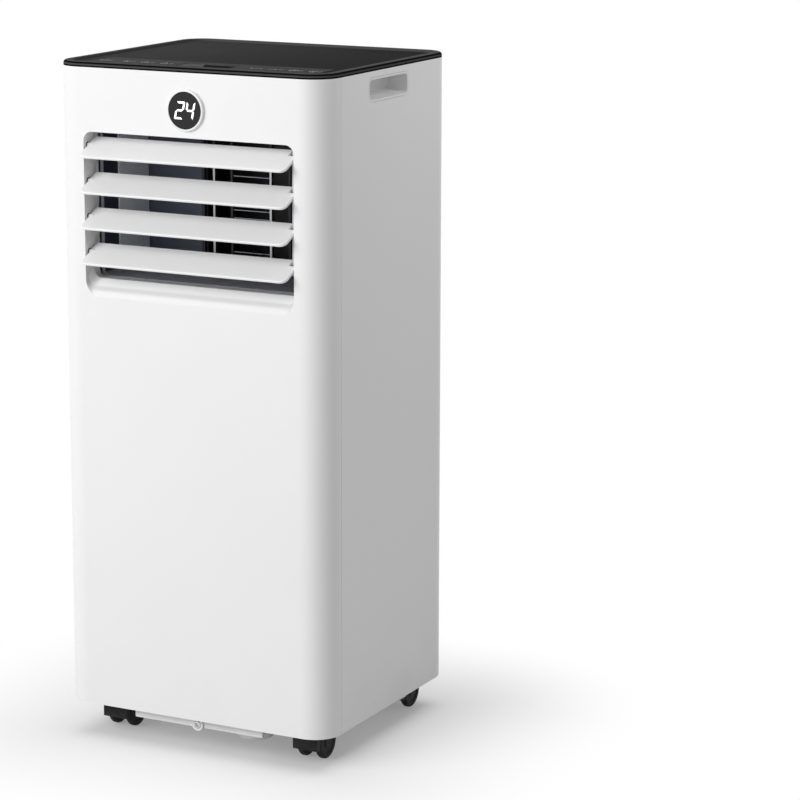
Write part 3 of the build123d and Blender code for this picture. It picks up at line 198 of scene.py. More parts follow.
def metal(name, colour, roughness, along=(1.0, 1.0, 1.0), stain=(0.1, 0.09, 0.08)):
    """Bare or plated metal with fine drawn lines and faint stains."""
    f = Finish(name, Metallic=1.0)
    lines = f.noise(900.0, detail=3.0, roughness=0.6, place=f.stretched(along))
    patches = f.ramp(f.noise(40.0, detail=4.0), 0.5, 0.8)
    tone = f.mix(patches * 0.25, f.mix(lines, scaled(colour, 0.85), colour), stain)
    gloss = roughness + 0.2 * (lines - 0.5) + 0.2 * patches
    return f.feed(Base_Color=tone, Roughness=gloss, Normal=f.bump(lines, 0.2, 0.1 * MM))


def finger_smears(f):
    return f.ramp(f.noise(45.0, detail=4.0, roughness=0.6, place=f.stretched((1.0, 2.2, 1.0))), 0.5, 0.85)


def glossy(name, colour, smear, roughness, **fixed):
    """Clear-faced dark panel with a few finger smears."""
    f = Finish(name, **fixed)
    slow = f.noise(20.0)
    tone = f.mix(slow, colour, scaled(colour, 1.35))
    gloss = roughness + smear * finger_smears(f)
    return f.feed(Base_Color=tone, Roughness=gloss, Normal=f.bump(slow, 0.02, 0.4 * MM))


def rubbery(name, colour):
    """Black rubber with a grey bloom."""
    f = Finish(name)
    bloom = f.ramp(f.noise(70.0, detail=4.0), 0.45, 0.8)
    tone = f.mix(bloom * 0.5, colour, scaled(colour, 2.2))
    fine = f.bump(f.noise(1400.0), 0.4, 0.15 * MM)
    return f.feed(Base_Color=tone, Roughness=0.72 + 0.15 * bloom, Normal=fine)


# Finishes of one kind of piece each

FIN_WAVE = 3900.0
TUBE_ROW_WAVE = 251.3
THREAD_WAVE = 2600.0


def finned(name):
    """Coil block: thin fins across X with painted shade in the gaps between them, and the tubes' rows showing
    as faint bands.
    """
    f = Finish(name, Metallic=0.9)
    fins = (f.x * FIN_WAVE).wave() * 0.5 + 0.5
    dents = f.ramp(f.noise(60.0, detail=3.0), 0.55, 0.75)
    rows = (f.z * TUBE_ROW_WAVE).wave() * 0.5 + 0.5
    # painted shade: dark stripes between the fins stand for the gaps
    tone = f.mix(fins, (0.10, 0.10, 0.11), (0.66, 0.67, 0.69))
    tone = f.mix(dents * 0.35, tone, (0.42, 0.43, 0.45))
    tone = f.mix(rows * 0.15, tone, (0.3, 0.3, 0.31))
    return f.feed(Base_Color=tone, Roughness=0.35 + 0.25 * dents, Normal=f.bump(fins, 0.6, 0.6 * MM))


def woven(name):
    """Filter mesh: two crossed threads with painted shade in the gaps between them, and some lint."""
    f = Finish(name)
    across = abs((f.x * THREAD_WAVE).wave())
    upward = abs((f.z * THREAD_WAVE).wave())
    thread = across.at_least(upward)
    lint = f.ramp(f.noise(90.0, detail=4.0), 0.5, 0.8)
    # painted shade: the gaps between threads are near black
    tone = f.mix(f.ramp(thread, 0.55, 0.8), (0.012, 0.013, 0.015), (0.10, 0.105, 0.115))
    tone = f.mix(lint * 0.3, tone, (0.25, 0.24, 0.23))
    return f.feed(Base_Color=tone, Roughness=0.7 + 0.2 * lint, Normal=f.bump(thread, 0.7, 0.3 * MM))


def circuit(name):
    """Circuit board: solder mask over tracks that run in blocks."""
    f = Finish(name)
    tracks = f.add("TexBrick", {}, {"Vector": f.place, "Scale": 90.0, "Mortar Size": 0.02}, "Fac")
    slow = f.noise(30.0, detail=3.0)
    mask = f.mix(slow, (0.010, 0.07, 0.03), (0.016, 0.10, 0.045))
    tone = f.mix(tracks, mask, (0.05, 0.2, 0.09))
    return f.feed(Base_Color=tone, Roughness=0.3 + 0.2 * slow, Normal=f.bump(tracks, 0.3, 0.2 * MM))


def lit(name, colour, strength):
    """Lit display segment behind a diffuser."""
    f = Finish(name, Emission_Strength=strength, Roughness=0.5)
    tone = f.mix(f.noise(900.0), scaled(colour, 0.94), colour)
    return f.feed(Base_Color=tone, Emission_Color=tone)


def foam(name, colour):
    """Sheet with a closed-cell foam texture and fine open pores; given a pale colour, it is a sheet of painted
    light.
    """
    f = Finish(name, Specular_IOR_Level=0.25)
    cells = f.add("TexVoronoi", {}, {"Vector": f.place, "Scale": 900.0})
    slow = f.noise(25.0, detail=3.0)
    tone = f.mix(slow, scaled(colour, 0.92), scaled(colour, 1.05))
    tone = f.mix(f.ramp(cells, 0.45, 0.75) * 0.25, tone, scaled(colour, 0.6))
    return f.feed(Base_Color=tone, Roughness=0.8 + 0.1 * slow, Normal=f.bump(cells, 0.4, 0.2 * MM))


# Front panel and slats: painted light and shade that follow the outlet's shape

RECESS_HALF = 118.5 * MM
RECESS_FRONT = -131.5 * MM
RECESS_FADE = 5.0 * MM
SILL_LOW = 430.0 * MM
SILL_HIGH = 480.0 * MM
slat_low, slat_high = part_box("louvre_1")


def outlet_painted_shading(f, tone):
    """Front panel: painted lighter inside the outlet's recess, against the shade there, and painted darker
    where the sill rolls over to the front and faces up into the light.
    """
    across = abs(f.x) < RECESS_HALF
    # painted light: the recess is made paler to lift the shade that falls in it
    deep = f.ramp(f.y, RECESS_FRONT, RECESS_FRONT + RECESS_FADE) * across
    painted_shade_sill = f.ramp(f.facing_up(), 0.04, 0.30) * f.z.between(SILL_LOW, SILL_HIGH) * (1.0 - deep)
    tone = f.mix(deep, tone, (0.95, 0.95, 0.952))
    return f.mix(painted_shade_sill, tone, (0.71, 0.71, 0.712))


def slat_painted_shading(f, tone):
    """Slats: painted lighter towards their pins, where shade falls under the slat above, and painted darker
    towards the front edge, which takes the most light.
    """
    # painted light and shade: tone rises from the front edge to the back
    back = f.ramp(f.y, slat_low[1], slat_high[1])
    return f.mix(0.9, tone, f.mix(back, (0.84, 0.84, 0.842), (0.93, 0.93, 0.932)))


# Air duct and the guard in its back wall

DUCT_WALL = 3.0 * MM
DUCT_FADE = 0.8 * MM
DUCT_LIP = 0.9 * MM
DUCT_BACK = 4.1 * MM
FLOOR_BAND = (0.5 * MM, 4.5 * MM)
# Two ribs whose front faces carry a painted highlight
BRIGHT_RIBS = (-35.8 * MM, 29.3 * MM)
BRIGHT_HALF = 1.6 * MM
BRIGHT_DEEP = 0.6 * MM
BRIGHT_TOP = 597.0 * MM
WIRE_SPAN = (-14.0 * MM, 27.5 * MM)
duct_low, duct_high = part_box("outlet_duct")
guard_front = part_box("outlet_guard")[0][1]


def duct_moulding(name):
    """Air duct: navy sides, a paler back wall, a floor and lowest walls painted pale as light falling on them,
    and a pale lip painted as a highlight where it meets the louvre frame.
    """
    f = Finish(name)
    slow = f.noise(14.0, detail=3.0)
    lip_end = duct_low[1] + DUCT_LIP
    back_start = duct_high[1] - DUCT_BACK
    floor = duct_low[2] + DUCT_WALL
    # painted highlight: a pale strip along the duct's front lip
    painted_highlight_lip = 1.0 - f.ramp(f.y, lip_end, lip_end + DUCT_FADE)
    back = f.ramp(f.y, back_start, back_start + DUCT_FADE)
    # painted light: the floor and the lowest few millimetres of wall are paler, as if lit
    bottom = 1.0 - f.ramp(f.z, floor + FLOOR_BAND[0], floor + FLOOR_BAND[1])
    sides = f.mix(slow, (0.020, 0.023, 0.042), (0.026, 0.030, 0.054))
    tone = f.mix(bottom, sides, f.mix(slow, (0.36, 0.37, 0.41), (0.42, 0.43, 0.47)))
    tone = f.mix(back, tone, f.mix(slow, (0.092, 0.102, 0.138), (0.106, 0.118, 0.156)))
    tone = f.mix(painted_highlight_lip, tone, (0.40, 0.41, 0.44))
    fine = f.bump(f.noise(1300.0), 0.3, 0.12 * MM)
    return f.feed(Base_Color=tone, Roughness=0.5 + 0.15 * slow, Normal=fine)


def guard_moulding(name):
    """Outlet guard: black border and ribs, plated wires, and painted highlights on the front faces of two
    ribs, which also get the metal finish.
    """
    f = Finish(name)
    slow = f.noise(60.0, detail=3.0)
    # painted highlight: the front faces of two ribs are bright
    left, right = (abs(f.x - place) < BRIGHT_HALF for place in BRIGHT_RIBS)
    rib_highlights = left.at_least(right) * (f.y < guard_front + BRIGHT_DEEP) * (f.z < BRIGHT_TOP)
    wires = f.x.between(*WIRE_SPAN)
    wires_and_rib_highlights = rib_highlights.at_least(wires)
    tone = f.mix(slow, (0.018, 0.019, 0.022), (0.030, 0.031, 0.035))
    tone = f.mix(wires, tone, (0.42, 0.43, 0.45))
    tone = f.mix(rib_highlights, tone, f.mix(slow, (0.46, 0.47, 0.49), (0.52, 0.53, 0.55)))
    gloss = 0.45 + 0.12 * slow - 0.12 * wires_and_rib_highlights
    fine = f.bump(f.noise(1500.0), 0.2, 0.1 * MM)
    return f.feed(Base_Color=tone, Metallic=wires_and_rib_highlights, Roughness=gloss, Normal=fine)


# Top cover and control strip

CORNER_RADIUS = 28.0 * MM
COVER_RIM = 9.0 * MM
RIM_OUTSIDE = 0.2 * COVER_RIM
LEDGE_END = COVER_RIM + 1.4 * MM
# Painted highlight line round the outer edge, between these depths below the top
HIGHLIGHT_LOW = 3.7 * MM
HIGHLIGHT_HIGH = 1.6 * MM
HIGHLIGHT_FADE = 0.5 * MM
cover_half_x, cover_half_y, cover_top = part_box("top_cover")[1]


def inset_from_outline(f, half_x, half_y, corner):
    """How far inside an upright round-cornered outline a point lies."""
    past_x = abs(f.x) - (half_x - corner)
    past_y = abs(f.y) - (half_y - corner)
    from_corner = (past_x.at_least(0.0) ** 2.0 + past_y.at_least(0.0) ** 2.0) ** 0.5
    return corner - from_corner - past_x.at_least(past_y).at_most(0.0)


def cover_moulding(name):
    """Top cover: fine leather grain, painted light falling off from left to right, a ledge inside the rim
    painted paler against the shade in it, and a painted dark outer edge with a painted highlight line round
    it.
    """
    f = Finish(name, Specular_IOR_Level=0.006)
    inset = inset_from_outline(f, cover_half_x, cover_half_y, CORNER_RADIUS)
    line_low = cover_top - HIGHLIGHT_LOW
    line_high = cover_top - HIGHLIGHT_HIGH
    outer = inset < RIM_OUTSIDE
    above = f.ramp(f.z, line_low, line_low + HIGHLIGHT_FADE)
    below = 1.0 - f.ramp(f.z, line_high - HIGHLIGHT_FADE, line_high)
    slow = f.noise(6.0)
    grain = f.noise(1100.0, roughness=0.6) + 0.6 * f.noise(420.0)
    dust = f.ramp(f.noise(38.0, detail=4.0, roughness=0.6), 0.55, 0.85) * (f.facing_up() > 0.5)
    # painted light: tone falls off from the lit left side to the right
    painted_falloff = f.ramp(f.x + 0.03 * (slow - 0.5), -0.19, 0.17)
    tone = f.mix(painted_falloff, (0.052, 0.052, 0.0525), (0.017, 0.017, 0.0173))
    # painted light: the ledge inside the rim is paler, against the shade in it
    tone = f.mix(inset.between(RIM_OUTSIDE, LEDGE_END), tone, (0.085, 0.085, 0.086))
    # painted shade on the outer edge, and a painted highlight line along it
    tone = f.mix(outer, tone, (0.004, 0.004, 0.0042))
    tone = f.mix(outer * above * below, tone, (0.068, 0.068, 0.069))
    tone = f.mix(dust * 0.03, tone, (0.20, 0.20, 0.20))
    return f.feed(Base_Color=tone, Roughness=0.7 + 0.12 * slow, Normal=f.bump(grain, 0.35, 0.12 * MM))


def strip_gloss(name):
    """Control strip: dark clear panel with finger smears, and painted light falling off from left to right."""
    f = Finish(name, Specular_IOR_Level=0.006)
    slow = f.noise(20.0)
    # painted light: tone falls off from the lit left side to the right
    painted_falloff = f.ramp(f.x + 0.02 * (slow - 0.5), -0.17, 0.17)
    tone = f.mix(painted_falloff, (0.058, 0.058, 0.059), (0.043, 0.043, 0.0435))
    gloss = 0.55 + 0.1 * finger_smears(f)
    return f.feed(Base_Color=tone, Roughness=gloss, Normal=f.bump(slow, 0.02, 0.4 * MM))


# The finishes themselves, and the pieces they go on

WHITE = (0.83, 0.83, 0.832)
shell_white = moulded("shell_white", WHITE, 0.36, grain=0.16, shade=0.012, dusty=0.03)
front_white = moulded("front_white", WHITE, 0.36, grain=0.16, shade=0.012, dusty=0.03, shaped=outlet_painted_shading)
slat_white = moulded("slat_white", (0.9, 0.9, 0.903), 0.42, grain=0.12, shade=0.008, shaped=slat_painted_shading)
base_white = moulded("base_white", (0.78, 0.78, 0.78), 0.5, grain=0.3, shade=0.02)
bezel_white = moulded("bezel_white", (0.84, 0.84, 0.842), 0.3, grain=0.05, shade=0.01)
cover_black = cover_moulding("cover_black")
caster_black = moulded(
    "caster_black", (0.005, 0.005, 0.0053), 0.45, grain=0.3, shade=0.12, Specular_IOR_Level=0.2
)
tyre_black = moulded(
    "tyre_black",
    (0.007, 0.007, 0.0073),
    0.55,
    grain=0.6,
    shade=0.2,
    grain_scale=700.0,
    Specular_IOR_Level=0.2,
)
duct_navy = duct_moulding("duct_navy")
fan_dark = moulded("fan_dark", (0.014, 0.015, 0.019), 0.5, grain=0.4, shade=0.12)
guard_mix = guard_moulding("guard_mix")
link_slate = moulded("link_slate", (0.55, 0.56, 0.60), 0.45, grain=0.2, shade=0.05)
bush_black = moulded("bush_black", (0.012, 0.012, 0.013), 0.5, grain=0.2, shade=0.1)
# painted light: a pale sheet standing in for light on the duct's left wall
pale_sheet_foam = foam("pale_sheet_foam", (0.84, 0.87, 0.91))
inner_grey = moulded("inner_grey", (0.30, 0.30, 0.31), 0.5, grain=0.4, shade=0.06)
panel_gloss = strip_gloss("panel_gloss")
lens_gloss = glossy("lens_gloss", (0.016, 0.016, 0.017), 0.10, roughness=0.2, Specular_IOR_Level=0.2)
tray_dark = glossy("tray_dark", (0.016, 0.016, 0.0164), 0.05, roughness=0.5, Specular_IOR_Level=0.0)
# pale finish for painted reflections on the tray's slopes
tray_painted_reflection = glossy("tray_painted_reflection", (0.11, 0.11, 0.111), 0.05, roughness=0.5, Specular_IOR_Level=0.0)
digit_light = lit("digit_light", (1.0, 1.0, 1.0), 1.0)
mark_grey = moulded("mark_grey", (0.50, 0.50, 0.51), 0.6, grain=0.05, shade=0.05, Specular_IOR_Level=0.02)
plated_steel = metal("plated_steel", (0.62, 0.62, 0.63), 0.32)
bare_copper = metal("bare_copper", (0.72, 0.36, 0.22), 0.28, along=(1.0, 1.0, 0.2), stain=(0.14, 0.06, 0.04))
coil_fins = finned("coil_fins")
enamel_black = moulded("enamel_black", (0.012, 0.012, 0.012), 0.25, grain=0.2, shade=0.2)
motor_grey = moulded("motor_grey", (0.28, 0.29, 0.30), 0.38, grain=0.3, shade=0.06)
soft_rubber = rubbery("soft_rubber", (0.016, 0.016, 0.016))
filter_mesh = woven("filter_mesh")
board_green = circuit("board_green")

dressing = {
    "front_panel": front_white,
    "rear_cabinet": shell_white,
    "side_grip_left": shell_white,
    "side_grip_right": shell_white,
    "top_cover": cover_black,
    "control_strip": panel_gloss,
    "indicator_window": lens_gloss,
    "display_bezel": bezel_white,
    "display_lens": lens_gloss,
    "display_board": board_green,
    "control_board": board_green,
    "louvre_frame": shell_white,
    "outlet_duct": duct_navy,
    "outlet_guard": guard_mix,
    "swing_motor": motor_grey,
    "swing_crank": inner_grey,
    "louvre_link": link_slate,
    "base_pan": base_white,
    "caster_sockets": plated_steel,
    "compressor": enamel_black,
    "compressor_feet": soft_rubber,
    "accumulator": enamel_black,
    "discharge_pipe": bare_copper,
    "suction_pipe": bare_copper,
    "liquid_pipe": bare_copper,
    "condenser_coil": coil_fins,
    "lower_scroll": fan_dark,
    "lower_fan_motor": motor_grey,
    "exhaust_duct": fan_dark,
    "exhaust_port": shell_white,
    "drip_tray": inner_grey,
    "evaporator_coil": coil_fins,
    "upper_scroll": fan_dark,
    "upper_fan_motor": motor_grey,
    "electrical_box": inner_grey,
    "splash_motor": motor_grey,
    "cord_gland": soft_rubber,
    "cabinet_screws": plated_steel,
    "upper_fan_wheel": fan_dark,
    "upper_fan_shaft": plated_steel,
    "lower_fan_wheel": fan_dark,
    "lower_fan_shaft": plated_steel,
    "splash_wheel": inner_grey,
    "filter_cover": shell_white,
    "filter_screen": filter_mesh,
    "upper_drain_cap": shell_white,
    "lower_drain_plug": soft_rubber,
    "water_float": inner_grey,
}
for number in range(1, 5):
    dressing[f"louvre_{number}"] = slat_white
for corner in ("front_left", "front_right", "rear_left", "rear_right"):
    dressing[f"caster_hood_{corner}"] = caster_black
    dressing[f"caster_wheels_{corner}"] = tyre_black
for name, node in nodes.items():
    node.data.materials.clear()
    node.data.materials.append(dressing[name])


# Small fittings, made in mesh code: named sizes are in millimetres, points in metres


def fitting(name, bm, paint, body):
    """Turns a bmesh into a piece that rides on a body and wears the given finish."""
    bmesh.ops.recalc_face_normals(bm, faces=bm.faces[:])
    mesh = bpy.data.meshes.new(name)
    bm.to_mesh(mesh)
    bm.free()
    mesh.materials.append(paint)
    piece = bpy.data.objects.new(name, mesh)
    bpy.context.scene.collection.objects.link(piece)
    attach(piece, body)
    return piece


def prism(bm, outline, offset):
    """Adds a closed prism: an outline of points and the same outline moved by an offset."""
    low = [bm.verts.new(point) for point in outline]
    high = [bm.verts.new(Vector(point) + Vector(offset)) for point in outline]
    bm.faces.new(low)
    bm.faces.new(high)
    for i, start in enumerate(low):
        after = (i + 1) % len(low)
        bm.faces.new((start, low[after], high[after], high[i]))


def turned(bm, profile, origin, axis, steps):
    """Adds a turned shape: pairs of a radius and a height in millimetres, spun round an axis."""
    up = Vector(axis).normalized()
    side = up.orthogonal().normalized()
    third = up.cross(side)
    rings = []
    for radius, height in profile:
        middle = Vector(origin) + up * height * MM
        ring = []
        for i in range(steps):
            turn = 2.0 * math.pi * i / steps
            out = math.cos(turn) * side + math.sin(turn) * third
            ring.append(bm.verts.new(middle + radius * MM * out))
        rings.append(ring)
    for lower, upper in zip(rings, rings[1:]):
        for i in range(steps):
            bm.faces.new((lower[i], lower[i - 1], upper[i - 1], upper[i]))


# Display digits: slanted seven-segment bars just proud of the lens

DIGIT_HEIGHT = 17.2
DIGIT_WIDTH = 9.4
DIGIT_GAP = 2.0
DIGIT_STROKE = 1.9
DIGIT_SINK = 0.05
DIGIT_THICK = 0.15
DIGIT_SLANT = math.tan(math.radians(11.0))
BAR_GAP = 0.42
DIGITS = {
    "2": ("top", "upper_right", "middle", "lower_left", "bottom"),
    "4": ("upper_left", "upper_right", "middle", "lower_right"),
}
lens_low, lens_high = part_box("display_lens")
lens_face = lens_low[1]
lens_middle = (lens_low + lens_high) / 2


def segment_shape(name):
    """Corners of one bar in an upright digit: mitred at the digit's corners, pointed at its waist."""
    wide, high, waist = DIGIT_WIDTH, DIGIT_HEIGHT, DIGIT_HEIGHT / 2
    thick, half, gap = DIGIT_STROKE, DIGIT_STROKE / 2, BAR_GAP
    if name == "middle":
        left = [(thick + gap, waist - half), (half + gap, waist), (thick + gap, waist + half)]
        return left + [(wide - x, y) for x, y in reversed(left)]
    if name in ("top", "bottom"):
        shape = [(gap, high), (wide - gap, high)]
        shape += [(wide - thick - gap, high - thick), (thick + gap, high - thick)]
    else:
        shape = [(0, high - gap), (thick, high - thick - gap)]
        shape += [(thick, waist + half + gap), (half, waist + gap), (0, waist + half + gap)]
    if "right" in name:
        shape = [(wide - x, y) for x, y in shape]
    if name == "bottom" or "lower" in name:
        shape = [(x, high - y) for x, y in shape]
    return shape


def segment_bar(bm, name, left):
    outline = []
    for x, y in segment_shape(name):
        height = y - DIGIT_HEIGHT / 2
        sideways = left + x + height * DIGIT_SLANT
        outline.append((sideways * MM, lens_face + DIGIT_SINK * MM, lens_middle.z + height * MM))
    prism(bm, outline, (0, -DIGIT_THICK * MM, 0))


digits = bmesh.new()
for place, digit in enumerate("24"):
    left_edge = -(DIGIT_WIDTH + DIGIT_GAP / 2) + place * (DIGIT_WIDTH + DIGIT_GAP)
    for segment in DIGITS[digit]:
        segment_bar(digits, segment, left_edge)
fitting("display_digits", digits, digit_light, "cabinet")


# Touch marks: eight plain symbols printed on the control strip, each with a short stroke beside it

MARK_STROKE = 0.75
MARK_RADIUS = 4.4
MARK_THICK = 0.06
MARK_SINK = 0.02
ARC_STEPS = 24
strip_low, strip_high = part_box("control_strip")
strip_middle = (strip_low[1] + strip_high[1]) / 2


def mark_point(across, x, y):
    return ((across + x) * MM, strip_middle + y * MM, strip_high[2] - MARK_SINK * MM)


def mark_line(bm, across, start, end):
    a, b = Vector(start), Vector(end)
    half = Vector((a.y - b.y, b.x - a.x)).normalized() * MARK_STROKE / 2
    outline = [mark_point(across, *point) for point in (a + half, b + half, b - half, a - half)]
    prism(bm, outline, (0, 0, MARK_THICK * MM))


def mark_arc(bm, across, middle, radius, start, end):
    """Part of a ring, from one angle to another in degrees."""
    turns = [math.radians(start + (end - start) * i / ARC_STEPS) for i in range(ARC_STEPS + 1)]
    for first, second in zip(turns, turns[1:]):
        outline = []
        for turn, side in ((first, -1), (second, -1), (second, 1), (first, 1)):
            reach = radius + side * MARK_STROKE / 2
            x = middle[0] + reach * math.cos(turn)
            y = middle[1] + reach * math.sin(turn)
            outline.append(mark_point(across, x, y))
        prism(bm, outline, (0, 0, MARK_THICK * MM))


def mark_power(bm, across):
    mark_arc(bm, across, (0, 0), MARK_RADIUS, 125, 415)
    mark_line(bm, across, (0, 1.0), (0, 5.2))


def mark_frost(bm, across):
    for turn in (0, 60, 120):
        tip = Vector((math.cos(math.radians(turn)), math.sin(math.radians(turn)))) * MARK_RADIUS
        mark_line(bm, across, tip, -tip)


def mark_fan(bm, across):
    for turn in (90, 210, 330):
        blade = (2.2 * math.cos(math.radians(turn)), 2.2 * math.sin(math.radians(turn)))
        mark_arc(bm, across, blade, 2.0, turn - 150, turn + 90)


def mark_drop(bm, across):
    mark_arc(bm, across, (0, -1.2), 3.0, 150, 390)
    mark_line(bm, across, (-2.6, 0.3), (0, 5.0))
    mark_line(bm, across, (2.6, 0.3), (0, 5.0))


def mark_less(bm, across):
    mark_line(bm, across, (-4.2, 2.0), (0.2, -2.2))
    mark_line(bm, across, (4.2, 2.0), (-0.2, -2.2))


def mark_more(bm, across):
    mark_line(bm, across, (-4.2, -2.0), (0.2, 2.2))
    mark_line(bm, across, (4.2, -2.0), (-0.2, 2.2))


def mark_clock(bm, across):
    mark_arc(bm, across, (0, 0), MARK_RADIUS, 0, 360)
    mark_line(bm, across, (0, 0), (0, 3.0))
    mark_line(bm, across, (0, 0), (2.3, -1.0))


def mark_moon(bm, across):
    mark_arc(bm, across, (0, 0), MARK_RADIUS, 60, 300)
    mark_arc(bm, across, (2.6, 0), 3.85, 84, 276)


LEFT_MARKS = ((-118.0, mark_power), (-92.0, mark_frost), (-71.0, mark_fan), (-49.0, mark_drop))
RIGHT_MARKS = ((51.0, mark_less), (73.0, mark_more), (95.0, mark_clock), (117.0, mark_moon))
STROKE_BESIDE = ((7.0, -2.4), (8.6, 2.4))
marks = bmesh.new()
for across, draw in LEFT_MARKS + RIGHT_MARKS:
    draw(marks, across)
    mark_line(marks, across, *STROKE_BESIDE)
fitting("touch_marks", marks, mark_grey, "cabinet")


# Indicator window: a shallow dark tray, with painted reflections on its long left slope and its back slope

TRAY_SLOPE = 0.9
TRAY_LEFT_FRONT = 30.0
TRAY_LEFT_BACK = 20.0
TRAY_RIGHT_BACK = 4.5
TRAY_DEEP = 0.25
FACES_UP = 0.5
LEANS_RIGHT = 0.0005
LEANS_FORWARD = -0.05
window_low, window_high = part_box("indicator_window")


def tray_shape():
    """A closed block whose top is sunk, with four slopes down to the tray's floor."""
    left, front, bottom_z = window_low
    right, back, edge_z = window_high
    floor_z = edge_z - TRAY_DEEP * MM
    outside = ((left, front), (right, front), (right, back), (left, back))
    inside = (
        (left + TRAY_LEFT_FRONT * MM, front + TRAY_SLOPE * MM),
        (right - TRAY_SLOPE * MM, front + TRAY_SLOPE * MM),
        (right - TRAY_RIGHT_BACK * MM, back - TRAY_SLOPE * MM),
        (left + TRAY_LEFT_BACK * MM, back - TRAY_SLOPE * MM),
    )
    bm = bmesh.new()
    bottom = [bm.verts.new((x, y, bottom_z)) for x, y in outside]
    edge = [bm.verts.new((x, y, edge_z)) for x, y in outside]
    floor = [bm.verts.new((x, y, floor_z)) for x, y in inside]
    bm.faces.new(bottom)
    bm.faces.new(floor)
    for i in range(4):
        after = (i + 1) % 4
        bm.faces.new((bottom[i], bottom[after], edge[after], edge[i]))
        bm.faces.new((edge[i], edge[after], floor[after], floor[i]))
    return bm


indicator = fitting("indicator_tray", tray_shape(), tray_dark, "cabinet")
indicator.data.materials.append(tray_painted_reflection)
# painted reflection: slopes that face right or forward take the pale finish
for face in indicator.data.polygons:
    slope = face.normal
    if slope.z > FACES_UP and (slope.x > LEANS_RIGHT or slope.y < LEANS_FORWARD):
        face.material_index = 1
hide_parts("indicator_window")


# Slat bushes: dark rings round the slats' pins on both cheeks of the louvre frame

BUSH_BORE = 2.3
BUSH_RADIUS = 2.9
BUSH_RISE = 0.8
BUSH_SINK = 0.4
BUSH_STEPS = 28
CHEEK_X = 117.5
PIN_Y = -126.8
PIN_TOP = 607.0
PIN_PITCH = 35.3
PIN_COUNT = 4
bushes = bmesh.new()
bush_profile = [(BUSH_BORE, -BUSH_SINK), (BUSH_RADIUS, -BUSH_SINK), (BUSH_RADIUS, 0.6 * BUSH_RISE)]
bush_profile += [(0.9 * BUSH_RADIUS, BUSH_RISE), (BUSH_BORE, BUSH_RISE), (BUSH_BORE, -BUSH_SINK)]
for side in (-1, 1):
    for pin in range(PIN_COUNT):
        origin = (side * CHEEK_X * MM, PIN_Y * MM, (PIN_TOP - pin * PIN_PITCH) * MM)
        turned(bushes, bush_profile, origin, (-side, 0, 0), BUSH_STEPS)
bmesh.ops.remove_doubles(bushes, verts=bushes.verts[:], dist=0.01 * MM)
fitting("slat_bushes", bushes, bush_black, "cabinet")


# Painted light: a pale foam-textured sheet with soft edges on the duct's left wall, standing in for light
# falling on that wall

DUCT_HALF = 115.4
PAD_FRONT = -71.0
PAD_BACK = -23.5
PAD_LOW = 487.0
PAD_HIGH = 612.0
PAD_ROUND = 4.0
PAD_THICK = 1.6
PAD_SOFT = 0.5
ROUND_STEPS = 6


def pale_sheet_shape():
    """A round-cornered sheet whose edges on the open side are softened."""
    corners = (
        (PAD_BACK, PAD_LOW, -90),
        (PAD_BACK, PAD_HIGH, 0),
        (PAD_FRONT, PAD_HIGH, 90),
        (PAD_FRONT, PAD_LOW, 180),
    )
    outline = []
    for y, z, start in corners:
        for step in range(ROUND_STEPS + 1):
            turn = math.radians(start + 90 * step / ROUND_STEPS)
            back = y + PAD_ROUND * math.cos(turn)
            height = z + PAD_ROUND * math.sin(turn)
            outline.append((-DUCT_HALF * MM, back * MM, height * MM))
    bm = bmesh.new()
    prism(bm, outline, (PAD_THICK * MM, 0, 0))
    open_side = (PAD_THICK / 2 - DUCT_HALF) * MM
    open_edges = [edge for edge in bm.edges if all(vert.co.x > open_side for vert in edge.verts)]
    bmesh.ops.bevel(bm, geom=open_edges, offset=PAD_SOFT * MM, segments=2, affect="EDGES")
    return bm


fitting("duct_pale_sheet", pale_sheet_shape(), pale_sheet_foam, "cabinet")


# Cabinet screws: pan heads with a cross recess

SCREW_HEAD = 4.0
SCREW_RISE = 2.0
SCREW_STEPS = 32
SHANK_RADIUS = 1.8
SHANK_LENGTH = 8.0
CROSS_LONG = 2.3
CROSS_WIDE = 0.55
CROSS_DEEP = 1.1
CROSS_TAPER = 0.6
SCREW_SPREAD = 60.0
SCREW_ROWS = (62.5, 352.0)
BACK_Y = 134.0
FRONT_SCREW_Z = 29.2
FRONT_SCREW_RISE = 1.11


def screw_head(bm, origin, axis, rise):
    """A domed head with a cross-shaped hollow, and a short shank behind it."""
    up = Vector(axis)
    side = up.orthogonal().normalized()
    third = up.cross(side)
    profile = [(SHANK_RADIUS, -SHANK_LENGTH), (SHANK_RADIUS, 0.0), (SCREW_HEAD, 0.0)]
    profile += [(SCREW_HEAD, 0.45 * rise), (0.88 * SCREW_HEAD, 0.85 * rise), (0.66 * SCREW_HEAD, rise)]
    turned(bm, profile, origin, axis, SCREW_STEPS)
    bm.verts.ensure_lookup_table()
    top_ring = bm.verts[-SCREW_STEPS:]

    def at(a, b, height):
        return bm.verts.new(Vector(origin) + (side * a + third * b + up * height) * MM)

    outline = []
    for quarter in range(4):
        c = round(math.cos(quarter * math.pi / 2))
        s = round(math.sin(quarter * math.pi / 2))
        for a, b in ((CROSS_LONG, -CROSS_WIDE), (CROSS_LONG, CROSS_WIDE), (CROSS_WIDE, CROSS_WIDE)):
            outline.append((a * c - b * s, a * s + b * c))
    mouth = [at(a, b, rise) for a, b in outline]
    deep = [at(CROSS_TAPER * a, CROSS_TAPER * b, rise - CROSS_DEEP) for a, b in outline]
    loops = []
    for ring in (top_ring, mouth):
        for i, vert in enumerate(ring):
            found = bm.edges.get((vert, ring[i - 1]))
            loops.append(found or bm.edges.new((vert, ring[i - 1])))
    bmesh.ops.triangle_fill(bm, edges=loops, use_beauty=True)
    for i, vert in enumerate(mouth):
        bm.faces.new((mouth[i - 1], vert, deep[i], deep[i - 1]))
    bm.faces.new(deep)


